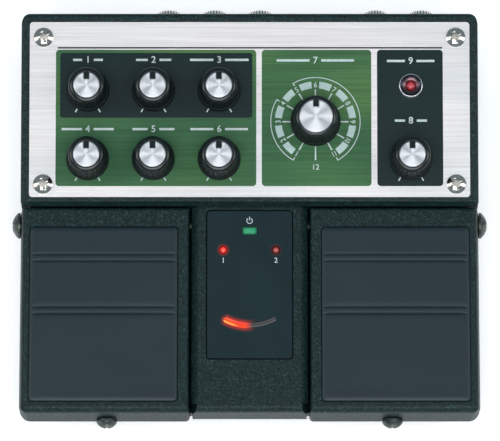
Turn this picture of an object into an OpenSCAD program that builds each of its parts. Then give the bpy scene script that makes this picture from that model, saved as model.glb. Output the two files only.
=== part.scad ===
// Twin-pedal tape echo floor unit: a sloping control deck behind two sprung foot pedals.
// Millimetres. +X is to the right, +Y to the rear, +Z up; the origin is under the middle of the footprint.

/* [Deck] */
// Width of the control deck
deck_w = 165.4; // [160:0.2:168]
// Depth of the control deck, from its front edge to its rear face
deck_d = 68.2; // [66:0.1:70]
// Height of the deck's front edge above the floor
deck_front_h = 34.3; // [34:0.1:36]
// Slope of the deck, in degrees
deck_tilt = 10; // [9:0.5:11]
// Thickness of the cast walls
wall = 2.4; // [2.2:0.1:2.6]
// Thickness of the casting at the deck's rim
deck_t = 3.2; // [3:0.1:3.6]
// Radius along the deck's top edges
edge_r = 1.6; // [1:0.1:2]
// Radius of the deck's rear corners
corner_r = 4.4; // [3:0.1:5]
// Height of the rubber feet
foot_h = 3; // [2.6:0.1:3.5]
// Thickness of the base plate
plate_t = 1.5; // [1.2:0.1:1.8]

/* [Control panel] */
// Thickness of the panel, which lies flush in the deck
panel_t = 1.2; // [1:0.1:1.4]
// Rim of the deck beside the panel
panel_side = 3.1; // [2.6:0.1:3.6]
// Rim of the deck behind the panel
panel_back = 3.6; // [3:0.1:4.2]
// Rim of the deck in front of the panel
panel_lip = 1.8; // [1.6:0.1:2.4]
// Panel screws, in from the panel's side edges
screw_in = 5; // [4.5:0.1:6]
// Front panel screws, in from the panel's front edge
screw_front = 4.6; // [4.3:0.1:5.5]
// Rear panel screws, in from the panel's rear edge
screw_rear = 5.7; // [4.6:0.1:6.5]

/* [Dials] */
// Leftmost column of dials, in from the panel's left edge
dial_in = 21.1; // [20:0.1:23]
// Spacing of the dial columns
dial_pitch = 23.75; // [22:0.05:24]
// Front row of dials, up the slope from the deck's front edge
dial_front = 15.5; // [14.5:0.1:16.5]
// Rear row of dials, up the slope
dial_rear = 40.5; // [39:0.1:42]
// Mode selector, from the middle
mode_x = 23.8; // [22:0.1:26]
// Mode selector, up the slope
mode_s = 29.2; // [28:0.1:30.5]
// Input dial and peak lamp, in from the panel's right edge
input_in = 21.3; // [20:0.1:23]
// Peak lamp, up the slope
peak_s = 42.3; // [40:0.1:44]
// Radius of a dial's skirt
knob_r = 7.7; // [7.2:0.1:8.2]
// Radius of the mode selector's skirt
mode_r = 9; // [8.6:0.1:9.6]
// Height of the dials above the panel
knob_h = 14.9; // [14:0.1:16]
// Radius of a control shaft
shaft_r = 3; // [2.8:0.1:3.1]

/* [Pedals] */
// Depth of a pedal, from its rear edge to its apron
pedal_d = 75.3; // [73.5:0.1:77]
// Width of a pedal
pedal_w = 61.5; // [60:0.1:63]
// Height of a pedal's rear edge above the floor
pedal_rear_h = 31; // [30.6:0.1:32]
// Slope of a pedal, in degrees
pedal_tilt = 4; // [3.5:0.1:4.3]
// Angle of a full press, in degrees
pedal_press = 2.5; // [2:0.1:2.8]
// Thickness of a pedal's top
pedal_t = 3; // [2.8:0.1:3.2]
// Width of the bridge between the pedals, below its sloping sides
bridge_w = 41.2; // [40:0.1:42]
// Width of the bridge's top
bridge_top = 37.7; // [36:0.1:38.5]
// Width of a rubber pad
pad_w = 53.3; // [51.5:0.1:54]
// Pads, out from the middle of the pedals
pad_shift = 0.3; // [0:0.1:1]
// Rim of the pedal behind a pad
pad_back = 7.3; // [7:0.1:9]
// Rim of the pedal in front of a pad
pad_front = 3.6; // [3.4:0.1:5]
// Height of a pad above its pedal
pad_proud = 0.8; // [0.4:0.1:1]
// Pivot, forward of a pedal's rear edge
pivot_in = 4; // [3.8:0.1:5]
// Height of the pivot
pivot_z = 21; // [20.6:0.1:21.5]
// Radius of the pivot screws
pivot_r = 2.5; // [2.2:0.1:2.8]
// Thumbscrews, from the middle
thumb_x = 51.4; // [50:0.1:53]
// Height of the thumbscrews
thumb_z = 15.4; // [15:0.1:15.6]
// Reach of a thumbscrew's head in front of its pedal
thumb_out = 3.1; // [2.8:0.1:4]

/* [Indicators] */
// Width of the indicator window
window_w = 30.7; // [29:0.1:31]
// Length of the indicator window
window_l = 54.3; // [53:0.1:55]
// Thickness of the indicator window
window_t = 1.6; // [1.4:0.1:1.8]
// Chord of the curved light guide
guide_w = 18.8; // [17:0.1:20]
// Drop of the light guide's curve
guide_sag = 2.5; // [2:0.1:3]

/* [Rear sockets] */
// Leftmost jack, in from the deck's left side
jack_in = 53; // [51:0.1:55]
// Rightmost jack, in from the deck's right side
pair_in = 19.6; // [18:0.1:22]
// Spacing of the jacks
jack_pitch = 16.8; // [16.5:0.1:17.5]
// Height of the jacks
jack_z = 20; // [19:0.1:21]
// Reach of the jacks behind the deck
jack_out = 9; // [8.5:0.1:10.5]
// Power socket, in from the deck's left side
dc_in = 16.7; // [15:0.1:20]
// Radius of a jack's bore
jack_bore_r = 3.3; // [3.25:0.05:3.4]

/* [Hidden] */
$fn = 48;
slip = 0.05; // running clearance on a radius
seam = 0.2; // gap between fitted pieces
weld = 0.002; // corner circles pass their tangents by this, so that arcs and lines meet in clean edges
trim = 0.03; // a plan stands this far outside the sections that it rounds, so that no faces coincide
skirt_t = 3; // thickness of a pedal's outer skirt
inner_t = 2.4; // thickness of a pedal's inner skirt and apron
side_gap = 0.9; // between the bridge and a pedal
pedal_gap = 1; // between the deck and a pedal
tray_gap = 0.7; // between the chassis walls and a pedal's skirt
apron_gap = 1.8; // between the chassis front and a pedal's apron
skirt_z = 12.4; // lower edge of the pedals' skirts
inner_z = 13; // lower edge of the pedals' inner skirts

total_d = thumb_out + pedal_d + pedal_gap + deck_d + jack_out;
apron_y = thumb_out - total_d / 2;
pedal_rear = apron_y + pedal_d;
deck_front = pedal_rear + pedal_gap;
deck_rear = deck_front + deck_d;
deck_l = deck_d / cos(deck_tilt);
floor_z = foot_h + plate_t;

pedal_in = bridge_w / 2 + side_gap;
pedal_out = pedal_in + pedal_w;
pedal_mid = (pedal_in + pedal_out) / 2;
pad_x = pedal_mid + pad_shift;
pedal_l = (pedal_d - 0.6) / cos(pedal_tilt);
pad_l = pedal_l - pad_back - pad_front;
skirt_in = pedal_out - skirt_t;
tray_x = skirt_in - tray_gap;
tray_front = apron_y + inner_t + apron_gap;
tray_top = thumb_z + 4.1;
pivot_y = pedal_rear - pivot_in;
pivot_head = 3;

bridge_drop = 1.8; // bridge below the pedals' tops
bridge_t = 3; // thickness of the bridge's top
bridge_slope = 5; // height of the bridge's sloping sides
bridge_front = apron_y + 1.1;
window_s = 1; // window behind the pedals' rear edge, down the slope
board_h = -bridge_drop - bridge_t - 5; // top of the indicator board under the pedals' slope

panel_w = deck_w - 2 * panel_side;
dial_x = dial_in - panel_w / 2;
input_x = panel_w / 2 - input_in;
panel_d = deck_l - panel_lip - panel_back;
panel_r = 1.2;
bush_r = shaft_r + 0.9;
hole_r = bush_r + 0.3;
pointer_w = 2; // notch in a dial's cap that shows where it points
pointer_l = 2.6;
pot_h = 6.5; // depth of a control's body
pot_w = 11; // width of a dial's control
selector_w = 20; // width of the mode switch
pot_top = -deck_t - 0.1; // top of a control's body, under the deck's surface
main_board_h = pot_top - pot_h; // top of the main board
board_t = 1.6;
board_in = 2; // indicator board, in from the window's edges

strike_x = thumb_x;
strike_y = tray_front + wall + 6.8;
strike_z = 20.6; // lower end of the pedal's striker
spring_x = strike_x - 15;
spring_r = 4.2;
wire_r = 0.55;
spring_turns = 7;

power_s = 8.4; // power lamp, down the slope from the pedals' rear edge
power_w = 5.2;
power_l = 2.7;
lamp_s = 15.4; // status lamps, down the slope
lamp_x = 9.5; // status lamps, from the middle
lamp_r = 1.6;
guide_s = 43.2; // lowest point of the light guide, down the slope
dc_x = dc_in - deck_w / 2;
jack_x = jack_in - deck_w / 2;
pair_x = deck_w / 2 - pair_in - jack_pitch;
body_l = 22; // depth of a jack's body
jack_body_w = 15;
jack_body_h = 16;
jack_depth = 28; // depth of a jack's bore from its end
thread_r = 4.75;
thread_l = jack_out + wall + 1;
nut_r = 6.6;
nut_h = 3.4;
washer_r = 6.9;
dc_body_w = 11;
dc_body_l = 14.5;
dc_body_h = 14;
dc_drop = 8; // power socket's body below its axis
dc_nose_r = 5;
jack_tip = deck_rear + jack_out;

boss_h = 5.5; // height of the bosses that take the base screws

switch_w = 12;
switch_d = 10;
switch_h = 9;
switch_neck_r = 4;
switch_neck_h = 11;
plunger_r = 2.5;
post_d = 4; // reach of the pivot posts in front of the pivots

tray_rear = pivot_y - post_d - 0.5; // battery trays fill the room between the pivot posts and the switches
tray_fore = strike_y + switch_d / 2 + 1;
tray_edge = 1.2; // end wall of a battery tray
cell_l = 49.5;
cell_pitch = (tray_rear - tray_fore - 2 * tray_edge) / 3;
cell_r = min(7.25, cell_pitch / 2 - 0.25);
tray_l = 53.8; // length of a battery tray, across the pedal
tray_h = 5; // height of a battery tray's saddles
tray_mid = tray_x - wall - 0.3 - tray_l / 2;
cells_y = tray_rear - tray_edge - cell_pitch / 2;

// Each dial: name, place across, place up the slope, skirt radius, shoulder radius, cap radius
DIALS = [
    ["bass", dial_x, dial_rear, knob_r, knob_r - 1.35, 4.7],
    ["treble", dial_x + dial_pitch, dial_rear, knob_r, knob_r - 1.35, 4.7],
    ["reverb", dial_x + 2 * dial_pitch, dial_rear, knob_r, knob_r - 1.35, 4.7],
    ["rate", dial_x, dial_front, knob_r, knob_r - 1.35, 4.7],
    ["intensity", dial_x + dial_pitch, dial_front, knob_r, knob_r - 1.35, 4.7],
    ["echo", dial_x + 2 * dial_pitch, dial_front, knob_r, knob_r - 1.35, 4.7],
    ["input", input_x, dial_front, knob_r, knob_r - 1.35, 4.7],
    ["mode", mode_x, mode_s, mode_r, mode_r - 1.6, 6],
];
POTS = [for (d = DIALS) if (d[0] != "mode") d];
SELECTOR = [for (d = DIALS) if (d[0] == "mode") d][0];
JACKS_X = [for (i = [0 : 2]) jack_x + i * jack_pitch, for (i = [0 : 1]) pair_x + i * jack_pitch];
PANEL_SCREWS = [
    for (x = [-1, 1], s = [panel_lip + screw_front, deck_l - panel_back - screw_rear])
        [x * (panel_w / 2 - screw_in), s]
];
BASE_SCREWS = [
    for (x = [-1, 1]) [x * (tray_x - wall - 3.2), tray_front + wall + 3.2],
    for (x = [-1, 1], y = [deck_front + wall + 3.2, deck_rear - wall - 3.2])
        [x * (deck_w / 2 - wall - 4.4), y]
];

black_cast = [0.18, 0.22, 0.22];
rubber_grey = [0.2, 0.24, 0.26];
nickel = [0.78, 0.78, 0.76];
board_green = [0.1, 0.35, 0.2];

function deck_z(y) = deck_front_h + (y - deck_front) * tan(deck_tilt);
function pedal_z(y) = pedal_rear_h - (pedal_rear - y) * tan(pedal_tilt);
function under_pedal(y) = pedal_z(y) - pedal_t / cos(pedal_tilt);
function unit(v) = v / norm(v);

// A rounded corner: where it leaves the edge before, the arc's centre, where it meets the edge after
function corner(before, at, after, r) =
    let (u = unit(before - at), v = unit(after - at), half = acos(u * v) / 2)
        [at + u * r / tan(half), at + unit(u + v) * r / sin(half), at + v * r / tan(half)];

// Convex outline, anticlockwise, with a radius at each corner
module outline(points, radii) {
    n = len(points);
    corners = [
        for (i = [0 : n - 1])
            corner(points[(i + n - 1) % n], points[i], points[(i + 1) % n], radii[i])
    ];
    polygon([for (i = [0 : n - 1]) each radii[i] > 0 ? [corners[i][0], corners[i][2]] : [points[i]]]);
    for (i = [0 : n - 1])
        if (radii[i] > 0)
            translate(corners[i][1])
                circle(radii[i] + weld);
}

module rounded_rect(w, d, r) {
    outline([[-w / 2, -d / 2], [w / 2, -d / 2], [w / 2, d / 2], [-w / 2, d / 2]], [r, r, r, r]);
}

// Extrudes a side outline, drawn in Y and Z, across X
module across(w) {
    rotate([90, 0, 90])
        linear_extrude(w, center = true)
            children();
}

// Extrudes a front outline, drawn in X and Z, along Y
module along(d) {
    rotate([90, 0, 0])
        linear_extrude(d, center = true)
            children();
}

// The deck's own place: x across, s up the slope from the front edge, h above the surface
module on_deck(x = 0, s = 0, h = 0) {
    translate([0, deck_front, deck_front_h])
        rotate([deck_tilt, 0, 0])
            translate([x, s, h])
                children();
}

// The pedals' own place: x across, s down the slope from the rear edge, h above the surface
module on_pedal(x = 0, s = 0, h = 0) {
    translate([0, pedal_rear, pedal_rear_h])
        rotate([pedal_tilt, 0, 0])
            translate([x, -s, h])
                children();
}

// A piece on the right-hand side and its mirror image on the left
module both() {
    children();
    mirror([1, 0, 0])
        children();
}

module left() {
    mirror([1, 0, 0])
        children();
}

// Round head with a crowned top and a shank below it
module screw(head_r, head_h, crown, r, l) {
    ball_r = (head_r * head_r + crown * crown) / (2 * crown);
    intersection() {
        cylinder(r = head_r, h = head_h);
        translate([0, 0, head_h - ball_r])
            sphere(ball_r, $fn = 96);
    }
    translate([0, 0, -l])
        cylinder(r = r, h = l + head_h / 2);
}

module cross_recess(w, l, depth) {
    for (a = [0, 90])
        rotate(a)
            translate([0, 0, -depth / 2])
                cube([l, w, depth], center = true);
}

module deck_block() {
    rear_z = deck_z(deck_rear);
    side = deck_w / 2;
    intersection() {
        across(deck_w + 2)
            outline(
                [[deck_front, floor_z], [deck_rear, floor_z], [deck_rear, rear_z], [deck_front, deck_front_h]],
                [0, 0, edge_r, edge_r / 2]
            );
        on_deck(0, deck_l / 2)
            along(2 * deck_l)
                outline([[-side, -rear_z], [side, -rear_z], [side, 0], [-side, 0]], [0, 0, edge_r, edge_r]);
        linear_extrude(rear_z + 5)
            outline(
                [
                    [-side - trim, deck_front - trim], [side + trim, deck_front - trim],
                    [side + trim, deck_rear + trim], [-side - trim, deck_rear + trim]
                ],
                [edge_r / 2, edge_r / 2, corner_r, corner_r]
            );
    }
}

module deck_cavity() {
    front = deck_front + wall;
    rear = deck_rear - wall;
    drop = deck_t / cos(deck_tilt);
    across(deck_w - 2 * wall)
        polygon([[front, 0], [rear, 0], [rear, deck_z(rear) - drop], [front, deck_z(front) - drop]]);
}

// Bridge between the pedals: sloping sides, and a front that stands over the chassis wall
module bridge_block() {
    rear = deck_front + wall / 2;
    side = bridge_w / 2;
    top = pedal_z(rear) - bridge_drop;
    difference() {
        intersection() {
            across(bridge_w + 2)
                outline(
                    [
                        [bridge_front, floor_z], [rear, floor_z],
                        [rear, top], [bridge_front, pedal_z(bridge_front) - bridge_drop]
                    ],
                    [0, 0, 0, 2.4]
                );
            on_pedal(0, pedal_l / 2, -bridge_drop)
                along(2 * pedal_l)
                    outline(
                        [
                            [-side, -top], [side, -top], [side, -bridge_slope],
                            [bridge_top / 2, 0], [-bridge_top / 2, 0], [-side, -bridge_slope]
                        ],
                        [0, 0, 0, 0.8, 0.8, 0]
                    );
        }
        translate([-bridge_w, bridge_front - 1, 0])
            cube([2 * bridge_w, tray_front - bridge_front + 1, skirt_z]);
    }
}

module bridge_cavity() {
    front = tray_front + wall;
    rear = deck_front + wall + 1;
    drop = bridge_drop + bridge_t / cos(pedal_tilt);
    across(bridge_w - 2 * wall)
        polygon([[front, 0], [rear, 0], [rear, pedal_z(rear) - drop], [front, pedal_z(front) - drop]]);
}

// Low chassis walls that close the space under the pedals, slotted for the pedals' inner skirts
module tray_walls() {
    rear = deck_front + wall / 2;
    slot_z = inner_z - (pivot_y - tray_front) * sin(pedal_press) - 1;
    difference() {
        translate([0, 0, floor_z])
            linear_extrude(tray_top - floor_z)
                difference() {
                    outline(
                        [[-tray_x, tray_front], [tray_x, tray_front], [tray_x, rear], [-tray_x, rear]],
                        [3, 3, 0, 0]
                    );
                    translate([-tray_x + wall, tray_front + wall])
                        square([2 * (tray_x - wall), rear - tray_front]);
                }
        both()
            translate([bridge_w / 2 - 0.5, tray_front - 1, slot_z])
                cube([inner_t + 2 * side_gap + 0.5, wall + 2, tray_top]);
    }
    both()
        translate([tray_x - 2, 0])
            across(4)
                translate([pivot_y - post_d, floor_z])
                    square([rear - pivot_y + post_d, pivot_z + post_d - floor_z]);
}

module housing() {
    color(black_cast)
        difference() {
            union() {
                difference() {
                    union() {
                        deck_block();
                        tray_walls();
                        bridge_block();
                    }
                    deck_cavity();
                    bridge_cavity();
                }
                for (p = PANEL_SCREWS)
                    on_deck(p[0], p[1], -8)
                        cylinder(r = 3.6, h = 8 - panel_t - 0.5);
                for (p = BASE_SCREWS)
                    translate([p[0], p[1], floor_z])
                        cylinder(r = 3.6, h = boss_h);
            }
            on_deck(0, panel_lip + panel_d / 2, -panel_t)
                linear_extrude(panel_t + 2)
                    rounded_rect(panel_w + 2 * seam, panel_d + 2 * seam, panel_r + seam);
            for (d = DIALS)
                on_deck(d[1], d[2], -deck_t - 1)
                    cylinder(r = hole_r, h = deck_t + 1);
            on_deck(input_x, peak_s, -deck_t - 1)
                cylinder(r = 3.5, h = deck_t + 1);
            for (p = PANEL_SCREWS)
                on_deck(p[0], p[1], -7)
                    cylinder(r = 1.5 + slip, h = 8);
            for (p = BASE_SCREWS)
                translate([p[0], p[1], floor_z - 1])
                    cylinder(r = 1.5 + slip, h = boss_h + 0.5);
            for (x = JACKS_X)
                translate([x, deck_rear + 1, jack_z])
                    rotate([90, 0, 0])
                        cylinder(r = thread_r + seam, h = wall + 2);
            translate([dc_x, deck_rear + 1, jack_z])
                rotate([90, 0, 0])
                    cylinder(r = dc_nose_r + seam, h = wall + 2);
            on_pedal(0, window_s + window_l / 2, -bridge_drop - window_t)
                linear_extrude(window_t + 2)
                    rounded_rect(window_w + 2 * seam, window_l + 2 * seam, 1 + seam);
            on_pedal(0, window_s + window_l / 2, -bridge_drop - bridge_t / 2)
                cube([window_w - 6, window_l - 10, bridge_t + 2], center = true);
            both() {
                translate([tray_x + 1, pivot_y, pivot_z])
                    rotate([0, -90, 0])
                        cylinder(r = pivot_r + slip, h = 6);
                translate([bridge_w / 2 + 1, pivot_y, pivot_z])
                    rotate([0, -90, 0])
                        cylinder(r = pivot_r + slip, h = wall + 2);
                translate([strike_x, tray_front - 1, 0])
                    along(2 * wall + 4)
                        bush_outline(seam);
            }
        }
}

module base_plate() {
    inset = 0.6;
    front = tray_front + inset;
    middle = deck_front + inset;
    rear = deck_rear - inset;
    color("dimgray")
        difference() {
            translate([0, 0, foot_h])
                linear_extrude(plate_t) {
                    translate([0, (front + middle + wall) / 2])
                        square([2 * (tray_x - inset), middle + wall - front], center = true);
                    translate([0, (middle + rear) / 2])
                        square([deck_w - 2 * inset, rear - middle], center = true);
                }
            for (p = BASE_SCREWS)
                translate([p[0], p[1], foot_h - 1])
                    cylinder(r = 1.8, h = plate_t + 2);
        }
}

module base_screws() {
    color(nickel)
        for (p = BASE_SCREWS)
            translate([p[0], p[1], foot_h])
                mirror([0, 0, 1])
                    difference() {
                        screw(2.8, 1.6, 0.7, 1.5, plate_t + boss_h - 1);
                        translate([0, 0, 1.6])
                            cross_recess(0.8, 3, 1);
                    }
}

module rubber_feet() {
    color([0.1, 0.1, 0.1])
        both()
            for (y = [apron_y + 18, deck_rear - 14])
                translate([tray_x - 18, y, 0])
                    difference() {
                        rotate_extrude()
                            outline([[0, 0], [7.5, 0], [8, foot_h], [0, foot_h]], [0, 0.6, 0, 0]);
                        translate([0, 0, -1])
                            cylinder(r = 2.5, h = 2);
                    }
}

module control_panel() {
    color([0.89, 0.89, 0.91])
        difference() {
            on_deck(0, panel_lip + panel_d / 2, -panel_t)
                linear_extrude(panel_t)
                    rounded_rect(panel_w, panel_d, panel_r);
            for (d = DIALS)
                on_deck(d[1], d[2], -panel_t - 1)
                    cylinder(r = hole_r, h = panel_t + 2);
            on_deck(input_x, peak_s, -panel_t - 1)
                cylinder(r = 3.5, h = panel_t + 2);
            for (p = PANEL_SCREWS)
                on_deck(p[0], p[1], -panel_t - 1)
                    cylinder(r = 1.8, h = panel_t + 2);
        }
}

module panel_screws() {
    color(nickel)
        for (p = PANEL_SCREWS)
            on_deck(p[0], p[1], 0)
                difference() {
                    screw(3.5, 1.9, 1.1, 1.5, 6);
                    rotate(18)
                        translate([0, 0, 1.9])
                            cross_recess(0.9, 4.2, 1.3);
                }
}

module main_board() {
    front = 8;
    rear = deck_l - 10;
    x0 = dial_x - 10;
    x1 = input_x + 10;
    color(board_green)
        on_deck((x0 + x1) / 2, (front + rear) / 2, main_board_h - board_t / 2)
            cube([x1 - x0, rear - front, board_t], center = true);
}

// Body and threaded bush of a rotary control, with a blind bore for its shaft
module control(w) {
    difference() {
        union() {
            translate([-w / 2, -w / 2, main_board_h])
                cube([w, w, pot_h]);
            translate([0, 0, pot_top - 1])
                cylinder(r = bush_r, h = 2.2 - pot_top);
        }
        translate([0, 0, pot_top - 4])
            cylinder(r = shaft_r + slip, h = 8 - pot_top);
    }
}

module pot_bodies() {
    color("darkgray")
        for (d = POTS)
            on_deck(d[1], d[2])
                control(pot_w);
}

module mode_switch() {
    color([0.25, 0.3, 0.5])
        on_deck(SELECTOR[1], SELECTOR[2])
            control(selector_w);
}

// Turning shaft of a control, with a flat near its upper end
module shaft(d) {
    top = knob_h - 3.2;
    color("silver")
        on_deck(d[1], d[2])
            difference() {
                translate([0, 0, pot_top - 3.8])
                    cylinder(r = shaft_r, h = top - pot_top + 3.8);
                translate([-shaft_r, -shaft_r - 1.5, 4])
                    cube([2 * shaft_r, 2, knob_h]);
            }
}

// Fluted dial with a hollow foot, a bore for the shaft and a seat for its cap
module knob(d) {
    skirt_r = d[3];
    top_r = d[4];
    cap_r = d[5];
    lift = 0.8;
    skirt_h = 2.4;
    lean = atan((skirt_r - 0.6 - top_r) / (knob_h - lift - skirt_h));
    flutes = 20;
    color([0.12, 0.13, 0.13])
        on_deck(d[1], d[2])
            difference() {
                union() {
                    rotate_extrude()
                        outline(
                            [[0, lift], [skirt_r, lift], [skirt_r, lift + skirt_h], [0, lift + skirt_h]],
                            [0, 0.3, 0.7, 0]
                        );
                    difference() {
                        rotate_extrude()
                            outline(
                                [[0, lift], [skirt_r - 0.6, lift + skirt_h - 0.6], [top_r, knob_h], [0, knob_h]],
                                [0, 0, 0.9, 0]
                            );
                        for (i = [0 : flutes - 1])
                            rotate(i * 360 / flutes)
                                translate([skirt_r - 0.25, 0, lift + skirt_h])
                                    rotate([0, -lean, 0])
                                        cylinder(r = 0.65, h = knob_h);
                    }
                }
                cylinder(r = bush_r + 1.2, h = 2.6);
                difference() {
                    cylinder(r = shaft_r + slip, h = knob_h - 2.8);
                    translate([-shaft_r - 1, -shaft_r - 1.5 - slip, 5])
                        cube([2 * shaft_r + 2, 2, knob_h]);
                }
                difference() {
                    translate([0, 0, knob_h - 0.8])
                        cylinder(r = cap_r + slip, h = 2);
                    translate([slip - pointer_w / 2, cap_r - pointer_l + slip, knob_h - 1])
                        cube([pointer_w - 2 * slip, pointer_l + 1, 1]);
                }
            }
}

module cap(d) {
    cap_r = d[5];
    color([0.85, 0.86, 0.88])
        on_deck(d[1], d[2])
            difference() {
                translate([0, 0, knob_h - 0.8])
                    rotate_extrude()
                        outline([[0, 0], [cap_r, 0], [cap_r, 1], [0, 1]], [0, 0, 0.25, 0]);
                translate([-pointer_w / 2, cap_r - pointer_l, knob_h - 1])
                    cube([pointer_w, pointer_l + 1, 2]);
            }
}

module peak_bezel() {
    color([0.9, 0.9, 0.9])
        on_deck(input_x, peak_s)
            difference() {
                union() {
                    rotate_extrude()
                        outline([[0, 0], [4.35, 0], [4.35, 1.4], [0, 1.4]], [0, 0, 0.5, 0]);
                    translate([0, 0, -deck_t - 1])
                        cylinder(r = 3.3, h = deck_t + 1.5);
                }
                translate([0, 0, -deck_t - 2])
                    cylinder(r = 2.5 + 2 * slip, h = deck_t + 6);
                translate([0, 0, 0.3])
                    cylinder(r1 = 2.5 + 2 * slip, r2 = 4.05, h = 1.2);
            }
}

// Round lamp with a domed lens, standing on a flange
module lamp(r, l) {
    cylinder(r = r, h = l - r);
    translate([0, 0, l - r])
        sphere(r);
    cylinder(r = r + 0.3, h = 1);
}

module peak_led() {
    color([0.75, 0.1, 0.08])
        on_deck(input_x, peak_s, -deck_t - 2.4)
            lamp(2.5, deck_t + 3.6);
}

module indicator_window() {
    color([0.16, 0.2, 0.23])
        difference() {
            on_pedal(0, window_s + window_l / 2, -bridge_drop - window_t)
                linear_extrude(window_t)
                    rounded_rect(window_w, window_l, 1);
            on_pedal(0, power_s, -bridge_drop - window_t / 2)
                cube([power_w + 2 * slip, power_l + 2 * slip, window_t + 2], center = true);
            for (x = [-1, 1])
                on_pedal(x * lamp_x, lamp_s, -bridge_drop - window_t - 1)
                    cylinder(r = lamp_r + slip, h = window_t + 2);
            guide(slip, -bridge_drop - window_t - 1, window_t + 2);
        }
}

// Crescent of the light guide, between two radii
module guide(grow, h, l) {
    r = (guide_w * guide_w / 4 + guide_sag * guide_sag) / (2 * guide_sag);
    half = asin(guide_w / 2 / r);
    mean = 1.1 + grow;
    on_pedal(0, guide_s - r, h)
        linear_extrude(l)
            intersection() {
                difference() {
                    circle(r + mean, $fn = 180);
                    circle(r - mean, $fn = 180);
                }
                polygon([for (x = [0, -2 * r * tan(half), 2 * r * tan(half)]) [x, x == 0 ? 2 * grow : 2 * grow - 2 * r]]);
            }
}

module light_guide() {
    color([0.85, 0.3, 0.2])
        guide(0, board_h, -bridge_drop - board_h);
}

module power_led() {
    color([0.2, 0.6, 0.35])
        on_pedal(0, power_s, (board_h - bridge_drop + 0.3) / 2)
            cube([power_w, power_l, 0.3 - bridge_drop - board_h], center = true);
}

module status_leds() {
    color([0.85, 0.2, 0.15])
        for (x = [-1, 1])
            on_pedal(x * lamp_x, lamp_s, board_h)
                lamp(lamp_r, 0.6 - bridge_drop - board_h);
}

module indicator_board() {
    color(board_green)
        on_pedal(0, window_s + window_l / 2, board_h - board_t / 2)
            cube([window_w - 2 * board_in, window_l - 2 * board_in, board_t], center = true);
}

module jack_sockets() {
    color([0.3, 0.3, 0.3])
        for (x = JACKS_X)
            translate([x, 0, jack_z])
                difference() {
                    union() {
                        translate([-jack_body_w / 2, deck_rear - wall - seam - body_l, -jack_body_h / 2])
                            cube([jack_body_w, body_l, jack_body_h]);
                        translate([0, deck_rear - wall - 1, 0])
                            rotate([-90, 0, 0])
                                rotate_extrude()
                                    outline(
                                        [[0, 0], [thread_r, 0], [thread_r, thread_l], [0, thread_l]],
                                        [0, 0, 2, 0]
                                    );
                    }
                    translate([0, jack_tip + 1, 0])
                        rotate([90, 0, 0])
                            cylinder(r = jack_bore_r, h = jack_depth + 1);
                }
}

module jack_nuts() {
    color(nickel)
        for (x = JACKS_X)
            translate([x, deck_rear + slip, jack_z])
                rotate([-90, 0, 0])
                    difference() {
                        union() {
                            cylinder(r = washer_r, h = 0.8);
                            cylinder(r = nut_r, h = nut_h, $fn = 6);
                        }
                        translate([0, 0, -1])
                            cylinder(r = thread_r + slip, h = nut_h + 2);
                    }
}

module dc_socket() {
    nose = deck_rear - 0.2;
    color([0.15, 0.15, 0.15])
        translate([dc_x, 0, jack_z]) {
            difference() {
                union() {
                    translate([-dc_body_w / 2, nose - dc_body_l, -dc_drop])
                        cube([dc_body_w, dc_body_l - wall - seam, dc_body_h]);
                    translate([0, nose, 0])
                        rotate([90, 0, 0])
                            cylinder(r = dc_nose_r, h = wall + 1);
                }
                translate([0, nose + 1, 0])
                    rotate([90, 0, 0])
                        cylinder(r = 2.9, h = 10);
            }
            translate([0, nose - 1, 0])
                rotate([90, 0, 0])
                    cylinder(r = 1, h = 9);
        }
}

module jack_board() {
    rear = deck_rear - wall - 1;
    color(board_green)
        translate([dc_x - 5, rear - body_l, jack_z - jack_body_h / 2 - board_t])
            cube([pair_x + jack_pitch + 7 - dc_x + 5, body_l, board_t]);
}

// Saddles and end walls that hold three cells side by side
module battery_tray() {
    difference() {
        translate([tray_mid - tray_l / 2, tray_fore, floor_z])
            cube([tray_l, tray_rear - tray_fore, tray_h]);
        for (i = [0 : 2])
            translate([tray_mid - cell_l / 2 - 0.9, cells_y - i * cell_pitch, floor_z + 1 + cell_r])
                rotate([0, 90, 0])
                    cylinder(r = cell_r + 0.15, h = cell_l + 1.8);
    }
}

module battery_trays() {
    color([0.2, 0.2, 0.2])
        both()
            battery_tray();
}

module battery_cells() {
    color([0.7, 0.6, 0.2])
        both()
            for (i = [0 : 2])
                translate([tray_mid, cells_y - i * cell_pitch, floor_z + 1 + cell_r])
                    rotate([0, i % 2 == 0 ? 90 : -90, 0]) {
                        translate([0, 0, -cell_l / 2 - 0.5])
                            cylinder(r = cell_r, h = cell_l);
                        translate([0, 0, cell_l / 2 - 1])
                            cylinder(r = 2.7, h = 1.5);
                    }
}

// Oblong outline of a guide bush, tall enough for the thumbscrew's travel
module bush_outline(grow) {
    drop = (pivot_y - tray_front) * sin(pedal_press);
    outline(
        [
            [-3.2 - grow, thumb_z - drop - 3.4 - grow], [3.2 + grow, thumb_z - drop - 3.4 - grow],
            [3.2 + grow, thumb_z + 3.2 + grow], [-3.2 - grow, thumb_z + 3.2 + grow]
        ],
        [1, 1, 1, 1]
    );
}

module guide_bush() {
    drop = (pivot_y - tray_front) * sin(pedal_press);
    translate([strike_x, tray_front, 0])
        difference() {
            union() {
                translate([0, wall / 2 - 0.2, 0])
                    along(wall + 0.4)
                        bush_outline(0);
                translate([0, -0.3 - slip, 0])
                    along(0.6)
                        bush_outline(0.8);
            }
            along(4 * wall) {
                translate([-1.8, thumb_z - drop - 0.2])
                    square([3.6, drop + 0.2]);
                translate([0, thumb_z])
                    circle(1.8);
                translate([0, thumb_z - drop - 0.2])
                    circle(1.8);
            }
        }
}

module guide_bushes() {
    color([0.75, 0.75, 0.7])
        both()
            guide_bush();
}

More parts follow.
